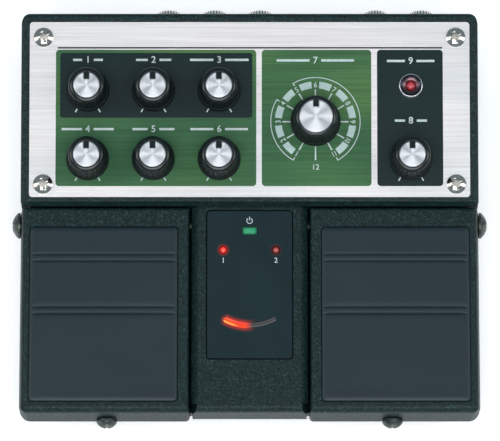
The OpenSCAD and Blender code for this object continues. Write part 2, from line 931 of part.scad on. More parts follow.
// Momentary switch with a bore for its plunger
module foot_switch() {
    translate([strike_x, strike_y, floor_z])
        difference() {
            union() {
                translate([-switch_w / 2, -switch_d / 2, 0])
                    cube([switch_w, switch_d, switch_h]);
                cylinder(r = switch_neck_r, h = switch_neck_h);
            }
            translate([0, 0, 2])
                cylinder(r = plunger_r + slip, h = switch_neck_h);
        }
}

module foot_switches() {
    color([0.3, 0.3, 0.35])
        both()
            foot_switch();
}

module plunger() {
    color([0.9, 0.9, 0.85])
        translate([strike_x, strike_y, floor_z + 6])
            cylinder(r = plunger_r, h = strike_z - 0.3 - floor_z - 6);
}

module pivot_screws() {
    color([0.12, 0.13, 0.13])
        both()
            translate([pedal_out + seam, pivot_y, pivot_z])
                rotate([0, 90, 0])
                    difference() {
                        screw(4.7, pivot_head, 2.3, pivot_r, skirt_t + tray_gap + 4);
                        translate([0, 0, pivot_head])
                            cross_recess(1.2, 5, 1.8);
                    }
}

// Pins that carry the pedals' inner sides, headed inside the bridge
module pivot_pins() {
    color(nickel)
        both()
            translate([bridge_w / 2 - wall - seam, pivot_y, pivot_z])
                rotate([0, -90, 0]) {
                    cylinder(r = pivot_r + 1.3, h = 1.6);
                    translate([0, 0, -wall - side_gap - inner_t])
                        cylinder(r = pivot_r, h = wall + side_gap + inner_t + 1);
                }
}

module pedal_block() {
    low = -pedal_rear_h;
    bend = 9;
    lean = (pedal_rear_h - bend) / bend;
    intersection() {
        across(4 * pedal_out)
            outline(
                [
                    [apron_y, skirt_z], [pedal_rear - 2.4, skirt_z], [pedal_rear, pivot_z + 2],
                    [pedal_rear, pedal_rear_h], [apron_y + 0.6, pedal_z(apron_y + 0.6)]
                ],
                [0.8, 1, 0, 1.2, 2.4]
            );
        linear_extrude(pedal_rear_h + 2)
            outline(
                [[pedal_in, apron_y], [pedal_out, apron_y], [pedal_out, deck_front], [pedal_in, deck_front]],
                [2, 4.6, 0, 0]
            );
        on_pedal(0, pedal_l / 2)
            along(2 * pedal_l)
                outline(
                    [
                        [pedal_in - 0.5 * lean, low], [pedal_out + lean, low],
                        [pedal_out - 1, 0], [pedal_in + 0.5, 0]
                    ],
                    [0, 0, 2.2, 1.2]
                );
    }
}

module pedal_cavity() {
    front = apron_y + inner_t;
    rear = pedal_rear - inner_t;
    inner = pedal_in + inner_t;
    translate([(inner + skirt_in) / 2, 0, 0])
        across(skirt_in - inner)
            polygon([[front, 0], [rear, 0], [rear, under_pedal(rear)], [front, under_pedal(front)]]);
    translate([(inner + skirt_in) / 2, 0, 0])
        across(skirt_in - inner)
            translate([rear - 1, 0])
                square([pedal_rear + 2 - rear, pivot_z + 5.5]);
    translate([pedal_in - 1, front, 0])
        cube([inner_t + 2, pedal_d, inner_z]);
}

module pedal() {
    base = under_pedal(strike_y);
    color(black_cast)
        difference() {
            union() {
                difference() {
                    pedal_block();
                    pedal_cavity();
                }
                translate([strike_x, strike_y, strike_z])
                    cylinder(r = 3.5, h = base + 1.5 - strike_z);
                translate([spring_x, strike_y, base - 3])
                    cylinder(r = spring_r - wire_r - 0.5, h = 4.5);
            }
            on_pedal(pad_x, pad_back + pad_l / 2, -1.2)
                linear_extrude(5)
                    rounded_rect(pad_w + 2 * seam, pad_l + 2 * seam, 1.5 + seam);
            translate([pedal_in - 1, pivot_y, pivot_z])
                rotate([0, 90, 0])
                    cylinder(r = pivot_r + slip, h = inner_t + 2);
            translate([skirt_in - 1, pivot_y, pivot_z])
                rotate([0, 90, 0])
                    cylinder(r = pivot_r + slip, h = skirt_t + 2);
            translate([strike_x, apron_y - 1, thumb_z])
                rotate([-90, 0, 0])
                    cylinder(r = 2 + slip, h = inner_t + 2);
        }
}

// Ribbed rubber pad: bevelled edges and two bands, each between a pair of fine grooves
module pad() {
    bevel = 1.2;
    fall = 0.6;
    low = -1.2;
    groove_w = 0.6;
    grooves = [10.2, 12.6, 29.5, 32];
    half_w = pad_w / 2;
    half_l = pad_l / 2;
    color(rubber_grey)
        on_pedal(pad_x, pad_back + half_l, 0)
            difference() {
                intersection() {
                    translate([0, 0, low])
                        linear_extrude(5)
                            rounded_rect(pad_w, pad_l, 1.5);
                    along(2 * pad_l)
                        polygon([
                            [-half_w, low], [half_w, low], [half_w, pad_proud - fall],
                            [half_w - bevel, pad_proud], [bevel - half_w, pad_proud], [-half_w, pad_proud - fall]
                        ]);
                    across(2 * pad_w)
                        polygon([
                            [-half_l, low], [half_l, low], [half_l, pad_proud - fall],
                            [half_l - bevel, pad_proud], [bevel - half_l, pad_proud], [-half_l, pad_proud - fall]
                        ]);
                }
                for (g = grooves)
                    translate([0, half_l - g, pad_proud])
                        cube([pad_w - 2 * bevel, groove_w, 0.9], center = true);
            }
}

// Captive screw through a pedal's apron, with its tip in the guide bush
module thumbscrew() {
    color([0.12, 0.13, 0.13])
        translate([strike_x, apron_y - seam, thumb_z])
            rotate([90, 0, 0])
                difference() {
                    union() {
                        screw(3.7, thumb_out - seam, 2.2, 2, seam + inner_t + 0.6);
                        translate([0, 0, -inner_t - apron_gap - wall])
                            cylinder(r = 1.6, h = inner_t + apron_gap + wall);
                    }
                    translate([0, 0, thumb_out])
                        cube([1, 8, 2], center = true);
                }
}

spring_low = floor_z + wire_r + 0.1;
spring_high = under_pedal(strike_y - spring_r) - wire_r - 0.5;
SPRING = [
    for (i = [0 : 8 * spring_turns])
        let (a = 45 * i, rise = i / (8 * spring_turns))
            [spring_r * cos(a), spring_r * sin(a), spring_low + (spring_high - spring_low) * rise]
];
spring_gap = min([
    for (i = [0 : len(SPRING) - 7], j = [i + 6 : len(SPRING) - 1]) norm(SPRING[i] - SPRING[j]) - 2 * wire_r
]);
echo(spring_gap = spring_gap);

// Six-sided wire swept up the coil, as one closed tube
module coil() {
    n = len(SPRING);
    sides = 6;
    points = [
        for (i = [0 : n - 1], k = [0 : sides - 1])
            let (a = 45 * i, b = 360 * k / sides)
                SPRING[i] + wire_r * [cos(b) * cos(a), cos(b) * sin(a), sin(b)]
    ];
    walls = [
        for (i = [0 : n - 2], k = [0 : sides - 1])
            let (p = i * sides + k, q = i * sides + (k + 1) % sides)
                each [[p, q + sides, q], [p, p + sides, q + sides]]
    ];
    ends = [
        for (k = [1 : sides - 2])
            each [[0, k, k + 1], [(n - 1) * sides, (n - 1) * sides + k + 1, (n - 1) * sides + k]]
    ];
    polyhedron(points, concat(walls, ends));
}

module pedal_spring() {
    color(nickel)
        translate([spring_x, strike_y, 0])
            coil();
}

housing();
base_plate();
base_screws();
rubber_feet();
control_panel();
panel_screws();
main_board();
pot_bodies();
mode_switch();
peak_led();
peak_bezel();
indicator_window();
power_led();
status_leds();
light_guide();
indicator_board();
jack_sockets();
jack_nuts();
dc_socket();
jack_board();
battery_trays();
battery_cells();
guide_bushes();
foot_switches();
pivot_screws();
pivot_pins();
pedal();  // pedal_right
left() pedal();  // pedal_left
pad();  // pad_right
left() pad();  // pad_left
thumbscrew();  // thumbscrew_right
left() thumbscrew();  // thumbscrew_left
plunger();  // plunger_right
left() plunger();  // plunger_left
pedal_spring();  // pedal_spring_right
left() pedal_spring();  // pedal_spring_left
for (d = DIALS) {
    knob(d);
    cap(d);
    shaft(d);
}
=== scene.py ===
"""Looks of a twin-pedal tape echo floor unit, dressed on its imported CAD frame. Sizes are in millimetres unless said."""
import math

import bmesh
import bpy
from mathutils import Matrix, Vector


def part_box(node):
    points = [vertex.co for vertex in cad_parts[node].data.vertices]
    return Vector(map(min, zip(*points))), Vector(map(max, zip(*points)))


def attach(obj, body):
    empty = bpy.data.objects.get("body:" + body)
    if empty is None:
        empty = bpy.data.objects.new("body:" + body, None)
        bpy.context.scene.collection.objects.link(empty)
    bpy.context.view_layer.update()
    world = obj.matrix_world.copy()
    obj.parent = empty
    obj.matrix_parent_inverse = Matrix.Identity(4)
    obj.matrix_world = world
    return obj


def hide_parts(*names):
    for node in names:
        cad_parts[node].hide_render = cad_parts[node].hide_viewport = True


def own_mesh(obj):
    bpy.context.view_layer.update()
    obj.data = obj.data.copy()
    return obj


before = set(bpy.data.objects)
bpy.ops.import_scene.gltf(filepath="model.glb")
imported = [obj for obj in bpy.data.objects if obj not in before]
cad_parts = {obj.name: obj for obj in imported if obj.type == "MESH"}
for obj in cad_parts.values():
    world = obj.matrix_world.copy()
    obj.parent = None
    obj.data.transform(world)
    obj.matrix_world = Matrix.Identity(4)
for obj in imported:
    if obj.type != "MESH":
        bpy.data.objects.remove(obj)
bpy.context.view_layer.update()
scene = bpy.context.scene
MM = 0.001

# The deck's and the pedals' own places: x across, y along the slope, z above the surface, and the slope in degrees
DECK = (0.0, 1.1, 34.3, 10.0)
PEDAL = (0.0, 0.1, 31.0, 4.0)
# Each dial: place across, place up the slope, skirt radius, cap radius
DIALS = {
    "bass": (-58.5, 40.5, 7.7, 4.7), "treble": (-34.75, 40.5, 7.7, 4.7), "reverb": (-11.0, 40.5, 7.7, 4.7),
    "rate": (-58.5, 15.5, 7.7, 4.7), "intensity": (-34.75, 15.5, 7.7, 4.7), "echo": (-11.0, 15.5, 7.7, 4.7),
    "input": (58.3, 15.5, 7.7, 4.7), "mode": (23.8, 29.2, 9.0, 6.0),
}
MODE_X, MODE_S = DIALS["mode"][:2]
KNOB_H, CAP_PROUD = 14.9, 0.24
# The selector's first place and the step between its places, in degrees clockwise from the top
SELECTOR_FIRST, SELECTOR_STEP = -150.0, 30.0
# On the deck: the peak lamp, the panel's screws and its printed fields
PEAK = (58.3, 42.3)
SCREW_X, SCREW_MIDDLE, SCREW_SPAN = 74.6, 33.18, 26.78
FIELD_LOW, FIELD_HIGH, FIELD_R = 5.75, 55.5, 1.3
# On the pedals' plane, with S down the slope: the window, its lamps, their signs and the curved light guide
WINDOW_W, WINDOW_L, WINDOW_S, WINDOW_H = 30.7, 54.3, 28.15, -1.8
LAMP_S, LAMP_X, POWER_S = 15.4, 9.5, 8.4
SIGN_S, LAMP_NUMBER_S = 4.6, 19.3
GUIDE_S, GUIDE_R, GUIDE_END = 43.2, 18.92, -8.2
# The jacks stand in a row of three from the first place and a pair from the second; nuts and ends carry painted shade
# of notches
JACK_X, PAIR_X, JACK_PITCH, JACK_Z = -29.7, 46.3, 16.8, 20.0
SHADED_NOTCHES, NUT_R, NUT_FLAT_R, END_R, END_HALF = 26.0, 5.9, 5.5, 4.2, 0.6
# The rubber pads, with their grooves' places from the back edge, and the feet
PAD_X, PAD_W, PAD_BACK, PAD_L, PAD_PROUD = 52.55, 53.3, 7.3, 63.98, 0.8
PAD_GROOVES = (10.2, 12.6, 29.5, 32.0)
FOOT_X, FOOT_Y = 61.3, (-57.2, 55.3)
# Thickness of printed ink
INK = 0.03
# Share of the font's size that a figure's height fills
FIGURE_SHARE = 0.73


def place(at, x=0.0, y=0.0, z=0.0):
    """Matrix from millimetres on a sloping surface to the frame's metres."""
    slope = Matrix.Translation(Vector(at[:3]) * MM) @ Matrix.Rotation(math.radians(at[3]), 4, "X")
    return slope @ Matrix.Scale(MM, 4) @ Matrix.Translation((x, y, z))


def linear(colour):
    """sRGB hex to linear RGBA."""
    values = [int(colour[i:i + 2], 16) / 255 for i in (1, 3, 5)]
    return [v / 12.92 if v <= 0.04045 else ((v + 0.055) / 1.055) ** 2.4 for v in values] + [1.0]


def feed(tree, made, inputs):
    """Sets a node's inputs: each is a value, another node's output, or a node whose first output in use is taken."""
    for socket, value in inputs.items():
        if isinstance(value, bpy.types.Node):
            value = next(out for out in value.outputs if out.enabled)
        if isinstance(value, bpy.types.NodeSocket):
            tree.links.new(value, made.inputs[socket])
        else:
            made.inputs[socket].default_value = value


def node(tree, kind, inputs=None, stops=(), **settings):
    """Adds a node with its settings and inputs, and a colour ramp's stops, each a place and a hex colour."""
    made = tree.nodes.new(kind)
    for name, value in settings.items():
        setattr(made, name, value)
    feed(tree, made, inputs or {})
    while stops and len(made.color_ramp.elements) < len(stops):
        made.color_ramp.elements.new(0.5)
    for i, (at, colour) in enumerate(stops):
        made.color_ramp.elements[i].position = at
        made.color_ramp.elements[i].color = linear(colour)
    return made


def material(name, **sockets):
    """A new Principled material, its tree and its shader; sockets are the shader's constant inputs."""
    made = bpy.data.materials.new(name)
    made.use_nodes = True
    tree = made.node_tree
    shader = tree.nodes["Principled BSDF"]
    for socket, value in sockets.items():
        shader.inputs[socket.replace("_", " ")].default_value = value
    return made, tree, shader


def mottled(name, patch, low, high, detail=2.0, spread=(0.3, 0.7), **sockets):
    """A material that drifts between two colours in patches of a given size, with its coordinates and its drift."""
    made, tree, shader = material(name, **sockets)
    where = node(tree, "ShaderNodeTexCoord").outputs["Object"]
    drift = node(tree, "ShaderNodeTexNoise", {"Vector": where, "Scale": 1 / (patch * MM), "Detail": detail})
    tone = node(tree, "ShaderNodeValToRGB", {"Fac": drift}, ((spread[0], low), (spread[1], high)))
    feed(tree, shader, {"Base Color": tone})
    return made, tree, shader, where, drift


def hairlines(tree, pitch, length=50):
    """Object coordinates, and noise drawn out along the panel into hairlines of a given pitch and length."""
    where = node(tree, "ShaderNodeTexCoord").outputs["Object"]
    fine = 1 / (pitch * MM)
    drawn = node(tree, "ShaderNodeMapping", {"Vector": where, "Scale": (1 / (length * MM), fine, fine)})
    return where, node(tree, "ShaderNodeTexNoise", {"Vector": drawn, "Scale": 1.0, "Detail": 4.0, "Roughness": 0.7})


def brushed_sheet(name, pitch, drift_size, tints_and_reflections, dark_hair, rough, **sockets):
    """Brushed aluminium, bare or under clear ink: slow drifts of tint (painted reflections on the bare sheet), darkened
    and roughened along its hairlines.
    """
    made, tree, shader = material(name, **sockets)
    where, hairs = hairlines(tree, pitch)
    along, across = (1 / (size * MM) for size in drift_size)
    wide = node(tree, "ShaderNodeMapping", {"Vector": where, "Scale": (along, across, across)})
    drift = node(tree, "ShaderNodeTexNoise", {"Vector": wide, "Scale": 1.0, "Detail": 1.0})
    # The slow drift of tint: on the bare panel it is painted cool and warm reflected light
    tint_and_reflection = node(tree, "ShaderNodeValToRGB", {"Fac": drift}, tints_and_reflections)
    streak = node(tree, "ShaderNodeValToRGB", {"Fac": hairs}, ((0.3, dark_hair), (0.7, "#ffffff")))
    sheet = node(tree, "ShaderNodeMix", {"Factor": 1.0, "A": tint_and_reflection, "B": streak},
                 data_type="RGBA", blend_type="MULTIPLY")
    rough = node(tree, "ShaderNodeMapRange", {"Value": hairs, "To Min": rough[0], "To Max": rough[1]})
    feed(tree, shader, {"Base Color": sheet, "Roughness": rough})
    return made, tree, shader, hairs


def on_surface(tree, at, x=0.0, y=0.0):
    """Object coordinates, and the separate axes of the place on a sloping surface in millimetres."""
    where = node(tree, "ShaderNodeTexCoord").outputs["Object"]
    local = node(tree, "ShaderNodeMapping", {
        "Vector": where, "Location": place(at, x, y).translation, "Rotation": (math.radians(at[3]), 0.0, 0.0),
        "Scale": (MM, MM, MM),
    }, vector_type="TEXTURE")
    return where, node(tree, "ShaderNodeSeparateXYZ", {0: local}).outputs


def from_spot(tree, at, place_x, place_y, spot=(0.0, 0.0, 0.0), folded=""):
    """As on_surface, with the distance from a spot; an axis that is folded there serves its two sides alike."""
    where, axes = on_surface(tree, at, place_x, place_y)
    flat = node(tree, "ShaderNodeCombineXYZ", {
        axis: node(tree, "ShaderNodeMath", {0: axes[axis]}, operation="ABSOLUTE") if axis in folded else axes[axis]
        for axis in "XY"
    })
    return where, axes, node(tree, "ShaderNodeVectorMath", {0: flat, 1: spot}, operation="DISTANCE")


# A soft fall from one to nought, for Map Range
FALL = {"To Min": 1.0, "To Max": 0.0}
SOFT = {"interpolation_type": "SMOOTHSTEP"}


# Camera: straight behind the player's feet, high above, as in the photograph
ELEVATION = math.radians(73.3)
DISTANCE = 1.600
TARGET = Vector((0.14, -3.1, 25.0)) * MM
camera = bpy.data.objects.new("camera", bpy.data.cameras.new("camera"))
camera.data.lens = 317.87
camera.data.sensor_width = 36
camera.data.clip_start = 0.05
away = Vector((0, -math.cos(ELEVATION), math.sin(ELEVATION)))
camera.location = TARGET + away * DISTANCE
camera.rotation_euler = (-away).to_track_quat("-Z", "Y").to_euler()
scene.collection.objects.link(camera)
scene.camera = camera
scene.view_settings.view_transform = "Standard"


# Studio, in metres: a broad box high in front and one each side, over a white sweep, with little light straight above
AIM = Vector((0, 0, 0.03))
for name, at, size, power in (
    ("softbox_front", (0.0, -1.08, 1.9), (1.5, 1.3), 24.0),
    ("softbox_left", (-1.35, -0.15, 1.35), (0.6, 1.2), 7.5),
    ("softbox_right", (1.35, -0.15, 1.35), (0.6, 1.2), 7.5),
):
    lamp = bpy.data.lights.new(name, "AREA")
    lamp.shape = "RECTANGLE"
    lamp.size, lamp.size_y = size
    lamp.energy = power
    box = bpy.data.objects.new(name, lamp)
    box.location = at
    box.rotation_euler = (AIM - box.location).to_track_quat("-Z", "Y").to_euler()
    scene.collection.objects.link(box)
world = bpy.data.worlds.new("studio")
scene.world = world
world.use_nodes = True
feed(world.node_tree, world.node_tree.nodes["Background"], {"Color": linear("#a4b6c0"), "Strength": 0.65})

# White paper sweep: matt, shown white to the camera and in reflections, with the object's shadow kept on it
paper, tree, shader = material(
    "white_paper", Roughness=0.9, Specular_IOR_Level=0.1, Base_Color=linear("#f2f2f2"),
    Emission_Color=linear("#ffffff"),
)
path = node(tree, "ShaderNodeLightPath").outputs
seen = node(tree, "ShaderNodeMath", {0: path["Is Camera Ray"], 1: path["Is Glossy Ray"]}, operation="MAXIMUM")
seen = node(tree, "ShaderNodeMath", {0: seen, 1: path["Is Transmission Ray"]}, operation="MAXIMUM")
feed(tree, shader, {"Emission Strength": node(tree, "ShaderNodeMath", {0: seen, 1: 0.45}, operation="MULTIPLY")})
floor_mesh = bpy.data.meshes.new("sweep")
floor_mesh.from_pydata([(-4, -4, 0), (4, -4, 0), (4, 4, 0), (-4, 4, 0)], [], [(0, 1, 2, 3)])
sweep = bpy.data.objects.new("sweep", floor_mesh)
sweep.data.materials.append(paper)
scene.collection.objects.link(sweep)


# Zinc casting under texture paint: dark green-blue, with a fine grain of pale and dark specks.
# The real grain is about 0.3 mm; it is drawn at 0.42 mm so that it shows at the photograph's size.
cast_paint, tree, shader = material("texture_painted_casting", Roughness=0.48, Specular_IOR_Level=0.25)
where = node(tree, "ShaderNodeTexCoord").outputs["Object"]
speck = node(tree, "ShaderNodeTexVoronoi", {"Vector": where, "Scale": 1 / (0.42 * MM)}).outputs["Color"]
cast = node(tree, "ShaderNodeSeparateColor", {"Color": speck}).outputs["Red"]
tone = node(tree, "ShaderNodeValToRGB", {"Fac": cast}, (
    (0.0, "#071517"), (0.5, "#102526"), (0.85, "#1a3334"), (1.0, "#2f4946"),
))
grain = node(tree, "ShaderNodeTexNoise", {"Vector": where, "Scale": 1 / (0.5 * MM), "Detail": 1.0})
bump = node(tree, "ShaderNodeBump", {"Height": grain, "Strength": 0.3, "Distance": 0.3 * MM})
feed(tree, shader, {"Base Color": tone, "Normal": bump})

# Moulded rubber: smooth blue-grey black with a faint cloudy bloom and a soft, wide sheen
pad_rubber, tree, shader, where, _ = mottled("moulded_rubber", 22, "#0b2128", "#10262e", 3.0, Roughness=0.48)
grain = node(tree, "ShaderNodeTexNoise", {"Vector": where, "Scale": 1 / (0.4 * MM), "Detail": 1.0})
bump = node(tree, "ShaderNodeBump", {"Height": grain, "Strength": 0.12, "Distance": 0.1 * MM})
feed(tree, shader, {"Normal": bump})

# Brushed aluminium sheet: bright, with hairlines along its length and pale cool and warm drifts of painted reflected
# light.
# Real hairlines are about 0.05 mm apart; they are drawn at about 0.5 mm so that they show.
panel_metal, tree, shader, hairs = brushed_sheet(
    "brushed_aluminium", 0.5, (62, 25), ((0.36, "#eeecec"), (0.52, "#f6f1f0"), (0.66, "#f7eff0")), "#e4e4e4",
    (0.46, 0.58), Metallic=1.0,
)
bump = node(tree, "ShaderNodeBump", {"Height": hairs, "Strength": 0.3, "Distance": 0.1 * MM})
feed(tree, shader, {"Normal": bump})

# Clear green ink over brushed aluminium: the hairlines show through as lighter and darker green
green_ink = brushed_sheet(
    "green_ink_on_aluminium", 0.65, (71, 33), ((0.34, "#467252"), (0.54, "#538056"), (0.7, "#618a56")), "#c4c4c4",
    (0.46, 0.6), Metallic=0.8,
)[0]

# Opaque black ink: satin, with a trace of the hairlines below it
black_ink, tree, shader = material("black_ink_on_aluminium", Roughness=0.3, Specular_IOR_Level=0.4)
_, hairs = hairlines(tree, 0.65)
tone = node(tree, "ShaderNodeValToRGB", {"Fac": hairs}, ((0.3, "#081e1e"), (0.7, "#0e2829")))
feed(tree, shader, {"Base Color": tone})

# Pale screen-printed ink: matt, almost white, a little uneven in its cover
pale_ink = mottled("pale_screen_ink", 1.1, "#bfcfce", "#d4e0df", Roughness=0.6)[0]

# Grey-blue screen-printed ink of the selector's bands: matt and a little uneven too
grey_ink = mottled("grey_screen_ink", 1.1, "#b2c8c6", "#c4d8d3", Roughness=0.6)[0]

# Black ABS, moulded with a matt skin: the knobs' fluted sides stay deep black
knob_abs = mottled("matt_black_abs", 1.4, "#030f10", "#071718", Roughness=0.6, Specular_IOR_Level=0.25)[0]

# The same ABS, polished: the knobs' rounded collars catch the lamps at each side and in front
collar_abs, tree, shader, _, haze = mottled("polished_black_abs", 1.4, "#030f10", "#071718")
feed(tree, shader, {"Roughness": node(tree, "ShaderNodeMapRange", {"Value": haze, "To Min": 0.17, "To Max": 0.3})})

# Aluminium turned on a lathe: fine rings, which draw the lamps out into bright wedges across the face.
# Real rings are about 0.1 mm apart; they are drawn at 0.45 mm so that they show.
RING_PITCH = 0.45
cap_metal, tree, shader = material("spun_aluminium", Metallic=1.0, Roughness=0.5, Anisotropic=0.93)
radius = node(tree, "ShaderNodeAttribute", attribute_name="radius").outputs["Fac"]
wave = node(tree, "ShaderNodeMath", {0: radius, 1: 2 * math.pi / RING_PITCH}, operation="MULTIPLY")
wave = node(tree, "ShaderNodeMath", {0: wave}, operation="SINE")
wave = node(tree, "ShaderNodeMapRange", {"Value": wave, "From Min": -1.0})
tone = node(tree, "ShaderNodeValToRGB", {"Fac": wave}, ((0.0, "#e6e8ec"), (1.0, "#f5f6f8")))
ray = node(tree, "ShaderNodeAttribute", attribute_name="ray").outputs["Vector"]
ray = node(tree, "ShaderNodeVectorTransform", {"Vector": ray},
           vector_type="VECTOR", convert_from="OBJECT", convert_to="WORLD")
feed(tree, shader, {"Base Color": tone, "Tangent": ray})

# The caps' turned edges: the same metal, seen end on
rim_metal = mottled("turned_aluminium", 2.0, "#c2c5c9", "#d8dade", Metallic=1.0, Roughness=0.3)[0]

# Nickel plate: warm white metal, smooth enough to mirror the lamps, slightly clouded
nickel, tree, shader, _, haze = mottled("nickel_plate", 1.7, "#c8c4ba", "#e4e1da", 3.0, Metallic=1.0)
feed(tree, shader, {"Roughness": node(tree, "ShaderNodeMapRange", {"Value": haze, "To Min": 0.18, "To Max": 0.32})})

# Satin nickel of the jacks: pale, with painted shade of knurl notches 1.5 mm apart round the nuts' rims and finer ones
# round the ends, the ribs between them painted pale as glints
jack_nickel, tree, shader = material("knurled_nickel_plate", Metallic=1.0, Roughness=0.5)
where = node(tree, "ShaderNodeTexCoord").outputs["Object"]
axes = node(tree, "ShaderNodeSeparateXYZ", {0: where}).outputs
pair = node(tree, "ShaderNodeMath", {0: axes["X"], 1: (JACK_X + PAIR_X) / 2 * MM}, operation="GREATER_THAN")
first = node(tree, "ShaderNodeMapRange", {"Value": pair, "To Min": JACK_X * MM, "To Max": PAIR_X * MM})
beside = node(tree, "ShaderNodeMath", {0: axes["X"], 1: first}, operation="SUBTRACT")
beside = node(tree, "ShaderNodeMath", {0: beside, 1: JACK_PITCH / 2 * MM, 2: -JACK_PITCH / 2 * MM}, operation="WRAP")
above = node(tree, "ShaderNodeMath", {0: axes["Z"], 1: JACK_Z * MM}, operation="SUBTRACT")
flat = node(tree, "ShaderNodeCombineXYZ", {"X": beside, "Y": above})
reach = node(tree, "ShaderNodeVectorMath", {0: flat}, operation="LENGTH")
turn = node(tree, "ShaderNodeMath", {0: beside, 1: above}, operation="ARCTAN2")
turn = node(tree, "ShaderNodeMath", {0: turn, 1: SHADED_NOTCHES}, operation="MULTIPLY")
notch_shade_wave = node(tree, "ShaderNodeMath", {0: turn}, operation="SINE")
notch_shade_wave = node(tree, "ShaderNodeMapRange", {"Value": notch_shade_wave, "From Min": -1.0})
rim = node(tree, "ShaderNodeMapRange", {
    "Value": reach, "From Min": NUT_R * MM, "From Max": NUT_FLAT_R * MM, **FALL,
}, **SOFT)
end = node(tree, "ShaderNodeMath", {0: reach, 1: END_R * MM, 2: END_HALF * MM}, operation="COMPARE")
rim = node(tree, "ShaderNodeMath", {0: rim, 1: end}, operation="MAXIMUM")
# Painted shade and glints: darkest in the notches, brightest on the ribs between them
notch_shade = node(tree, "ShaderNodeValToRGB", {"Fac": notch_shade_wave}, ((0.15, "#7c7a72"), (0.5, "#f2f0ea")))
plated_and_shaded = node(tree, "ShaderNodeMix", {"Factor": rim, "A": linear("#dedbd2"), "B": notch_shade}, data_type="RGBA")
feed(tree, shader, {"Base Color": plated_and_shaded})

# Bright nickel of the panel's screws: a clear mirror on the domed heads, scuffed and paler where a driver has turned
screw_nickel, tree, shader, _, _ = mottled("bright_nickel_plate", 1.1, "#b4b0a8", "#d6d2ca", 3.0, Metallic=1.0)
_, _, reach = from_spot(tree, DECK, 0.0, SCREW_MIDDLE, (SCREW_X, SCREW_SPAN, 0.0), "XY")
scuffed = node(tree, "ShaderNodeMapRange", {"Value": reach, "From Min": 0.9, "From Max": 1.7, **FALL}, **SOFT)
feed(tree, shader, {"Roughness": node(tree, "ShaderNodeMapRange", {"Value": scuffed, "To Min": 0.13, "To Max": 0.5})})

# Satin chrome plate on the lamp's bezel: pale all round, with faint polishing haze
chrome = mottled("satin_chrome_plate", 2.5, "#dcdfe2", "#f0f1f3", Metallic=1.0, Roughness=0.34)[0]

# Blackened steel of the pivot screws and thumbscrews: dark, satin, brighter where it is rubbed
black_steel = mottled("blackened_steel", 2.9, "#3a403d", "#6c736e", 3.0, (0.35, 0.75), Metallic=1.0, Roughness=0.44)[0]


def guide_places(tree):
    """Places in the pedals' plane: axes, flat, distance from the light guide's middle line, and from its lit path."""
    _, axes = on_surface(tree, PEDAL)
    rise = node(tree, "ShaderNodeMath", {0: axes["Y"], 1: GUIDE_S - GUIDE_R}, operation="ADD")
    flat = node(tree, "ShaderNodeCombineXYZ", {"X": axes["X"], "Y": rise})
    reach = node(tree, "ShaderNodeVectorMath", {0: flat}, operation="LENGTH")
    off = node(tree, "ShaderNodeMath", {0: reach, 1: GUIDE_R}, operation="SUBTRACT")
    side = node(tree, "ShaderNodeMath", {0: off}, operation="ABSOLUTE")
    tip = (GUIDE_END, -math.sqrt(GUIDE_R ** 2 - GUIDE_END ** 2), 0.0)
    end = node(tree, "ShaderNodeVectorMath", {0: flat, 1: tip}, operation="DISTANCE")
    past = node(tree, "ShaderNodeMath", {0: axes["X"], 1: GUIDE_END}, operation="LESS_THAN")
    return axes, flat, off, node(tree, "ShaderNodeMix", {"Factor": past, "A": side, "B": end})


# Smoked acrylic window: almost black and smooth, with red light from the guide and the lamps spreading inside it
window_smoke, tree, shader, _, _ = mottled(
    "smoked_acrylic", 17, "#142629", "#182c30", Roughness=0.2, Emission_Color=linear("#b02412"),
)
axes, flat, _, path = guide_places(tree)
glow = node(tree, "ShaderNodeMapRange", {"Value": path, "From Min": 0.7, "From Max": 2.6, **FALL}, **SOFT)
for axis, start, end in (("X", -2.5, 2.6), ("Y", -35.0, -34.0)):
    share = node(tree, "ShaderNodeMapRange", {"Value": axes[axis], "From Min": start, "From Max": end, **FALL}, **SOFT)
    glow = node(tree, "ShaderNodeMath", {0: glow, 1: share}, operation="MULTIPLY")
for x, strength in ((-LAMP_X, 0.42), (LAMP_X, 0.1)):
    lamp_at = (x, GUIDE_S - GUIDE_R - LAMP_S, 0.0)
    near = node(tree, "ShaderNodeVectorMath", {0: flat, 1: lamp_at}, operation="DISTANCE")
    near = node(tree, "ShaderNodeMapRange", {"Value": near, "From Min": 1.5, "From Max": 2.5, **FALL}, **SOFT)
    glow = node(tree, "ShaderNodeMath", {0: near, 1: strength, 2: glow}, operation="MULTIPLY_ADD")
feed(tree, shader, {"Emission Strength": glow})

# Acrylic light guide: lit red from its left end with a short hot streak, fading to a plain grey strip
guide_acrylic, tree, shader = material("lit_acrylic_guide", Roughness=0.25)
axes, _, off, path = guide_places(tree)
span = node(tree, "ShaderNodeMapRange", {"Value": off, "From Min": -1.1, "From Max": 1.1})
lit = node(tree, "ShaderNodeValToRGB", {"Fac": span}, (
    (0.0, "#c03024"), (0.3, "#e4402a"), (0.5, "#d82c10"), (0.75, "#e8401c"), (1.0, "#c8341c"),
))
hot = node(tree, "ShaderNodeValToRGB", {"Fac": span}, (
    (0.0, "#d03424"), (0.2, "#e4583a"), (0.42, "#d62e10"), (0.6, "#de4414"), (0.76, "#ffa850"), (0.94, "#dc4218"),
))
dull = node(tree, "ShaderNodeValToRGB", {"Fac": span}, (
    (0.05, "#1c2529"), (0.26, "#555252"), (0.45, "#2c3032"), (0.64, "#625e5c"), (0.88, "#1c2529"),
))
heat = node(tree, "ShaderNodeMapRange", {"Value": axes["X"], "From Min": -7.0, "From Max": -3.4, **FALL}, **SOFT)
lit = node(tree, "ShaderNodeMix", {"Factor": heat, "A": lit, "B": hot}, data_type="RGBA")
tail = node(tree, "ShaderNodeMapRange", {"Value": axes["X"], "From Min": -2.4, "From Max": 1.6, **FALL}, **SOFT)
edge = node(tree, "ShaderNodeMapRange", {"Value": path, "From Min": 0.85, "From Max": 1.5, **FALL}, **SOFT)
